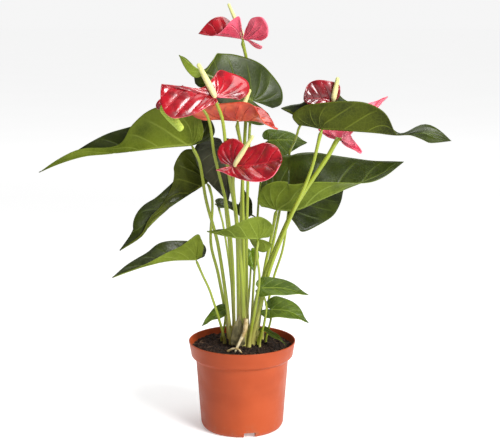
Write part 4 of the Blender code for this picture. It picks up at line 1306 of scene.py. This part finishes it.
def build_flowers(stems):
    pale = spadix_finish("spadix_cream", *SPADIX_TONES["cream"])
    green = spadix_finish("spadix_green", *SPADIX_TONES["green"])
    uppers, unders = {}, {}
    for tone in SPATHE_TONES:
        uppers[tone] = spathe_side("spathe_" + tone, *SPATHE_TONES[tone], 0.22, 0.5)
        unders[tone] = spathe_side("spathe_back_" + tone, *SPATHE_UNDERS[tone], 0.34, 0.15)
    rows, columns = grid_size(*SPATHE_GRID)
    for name, flower in FLOWERS.items():
        tone = SPATHE_TONE_OF.get(name, "red")
        flower["swell"] = SPATHE_SWELL
        piece = blade_piece(
            name + "_flower_spathe", flower, SPATHE_OUTLINE, SPATHE_THICKNESS, rows, columns,
            uppers[tone], unders[tone],
        )
        stand_in(piece, "orange_spathe" if name == "orange" else "spathe", name + "_spathe")
        stalk = stem_piece(name + "_stalk", STALKS[name], flower, SPATHE_THICKNESS, stems)
        stand_in(stalk, "stem", name + "_flower_stalk")
        spadix = spadix_piece(name + "_flower_spadix", flower, green if name == "old" else pale)
        stand_in(spadix, "green_spadix" if name == "old" else "spadix", name + "_spadix")


def build_plant():
    stems = stem_finish("stem_green", *STEM_TONES)
    build_leaves(stems)
    build_flowers(stems)
    dry = fibre_finish("dry_sheath", (0.07, 0.06, 0.02), (0.20, 0.17, 0.07))
    sheath = blade_piece(
        "crown_sheath_paper", SHEATH, LEAF_OUTLINE, SHEATH_THICKNESS, *SHEATH_GRID, dry, dry,
    )
    stand_in(sheath, "sheath", "crown_sheath")


# ---------------------------------------------------------------- studio

def studio_floor():
    """One wide flat floor that runs back well past the plant."""
    mesh = bmesh.new()
    bmesh.ops.create_grid(mesh, x_segments=4, y_segments=4, size=FLOOR_SIZE)
    bmesh.ops.translate(mesh, vec=(0, FLOOR_SHIFT, 0), verts=mesh.verts)
    floor = new_piece("studio_floor", mesh, (floor_finish(),))


def soft_light(name, place, size, energy):
    """A round lamp that looks at the plant."""
    light = bpy.data.lights.new(name, "AREA")
    light.shape = "DISK"
    light.size = size
    light.energy = energy
    lamp = bpy.data.objects.new(name, light)
    lamp.location = place
    towards = Vector(LIGHT_TARGET) - Vector(place)
    lamp.rotation_euler = towards.to_track_quat("-Z", "Y").to_euler()
    bpy.context.scene.collection.objects.link(lamp)


def studio_world():
    """White surroundings, brighter where they are seen than where they light the plant."""
    world = bpy.data.worlds.new("studio_world")
    bpy.context.scene.world = world
    world.use_nodes = True
    tree = world.node_tree
    background = tree.nodes["Background"]
    background.inputs["Color"].default_value = (1.0, 1.0, 1.0, 1.0)
    seen = tree.nodes.new("ShaderNodeLightPath")
    level = tree.nodes.new("ShaderNodeMapRange")
    level.inputs["To Min"].default_value = WORLD_LEVEL
    level.inputs["To Max"].default_value = WORLD_LEVEL_SEEN
    tree.links.new(seen.outputs["Is Camera Ray"], level.inputs["Value"])
    tree.links.new(level.outputs[0], background.inputs["Strength"])


def studio_camera():
    lens = bpy.data.cameras.new("studio_camera")
    lens.lens = CAMERA_LENS
    lens.sensor_width = CAMERA_SENSOR
    camera = bpy.data.objects.new("studio_camera", lens)
    camera.location = CAMERA_PLACE
    camera.rotation_euler = (math.pi / 2 - CAMERA_DROP, 0.0, 0.0)
    bpy.context.scene.collection.objects.link(camera)
    bpy.context.scene.camera = camera


def studio():
    studio_floor()
    for name, light in LIGHTS.items():
        soft_light(name, **light)
    studio_world()
    bpy.context.scene.view_settings.view_transform = "Standard"
    studio_camera()


studio()
build_pot()
build_plant()
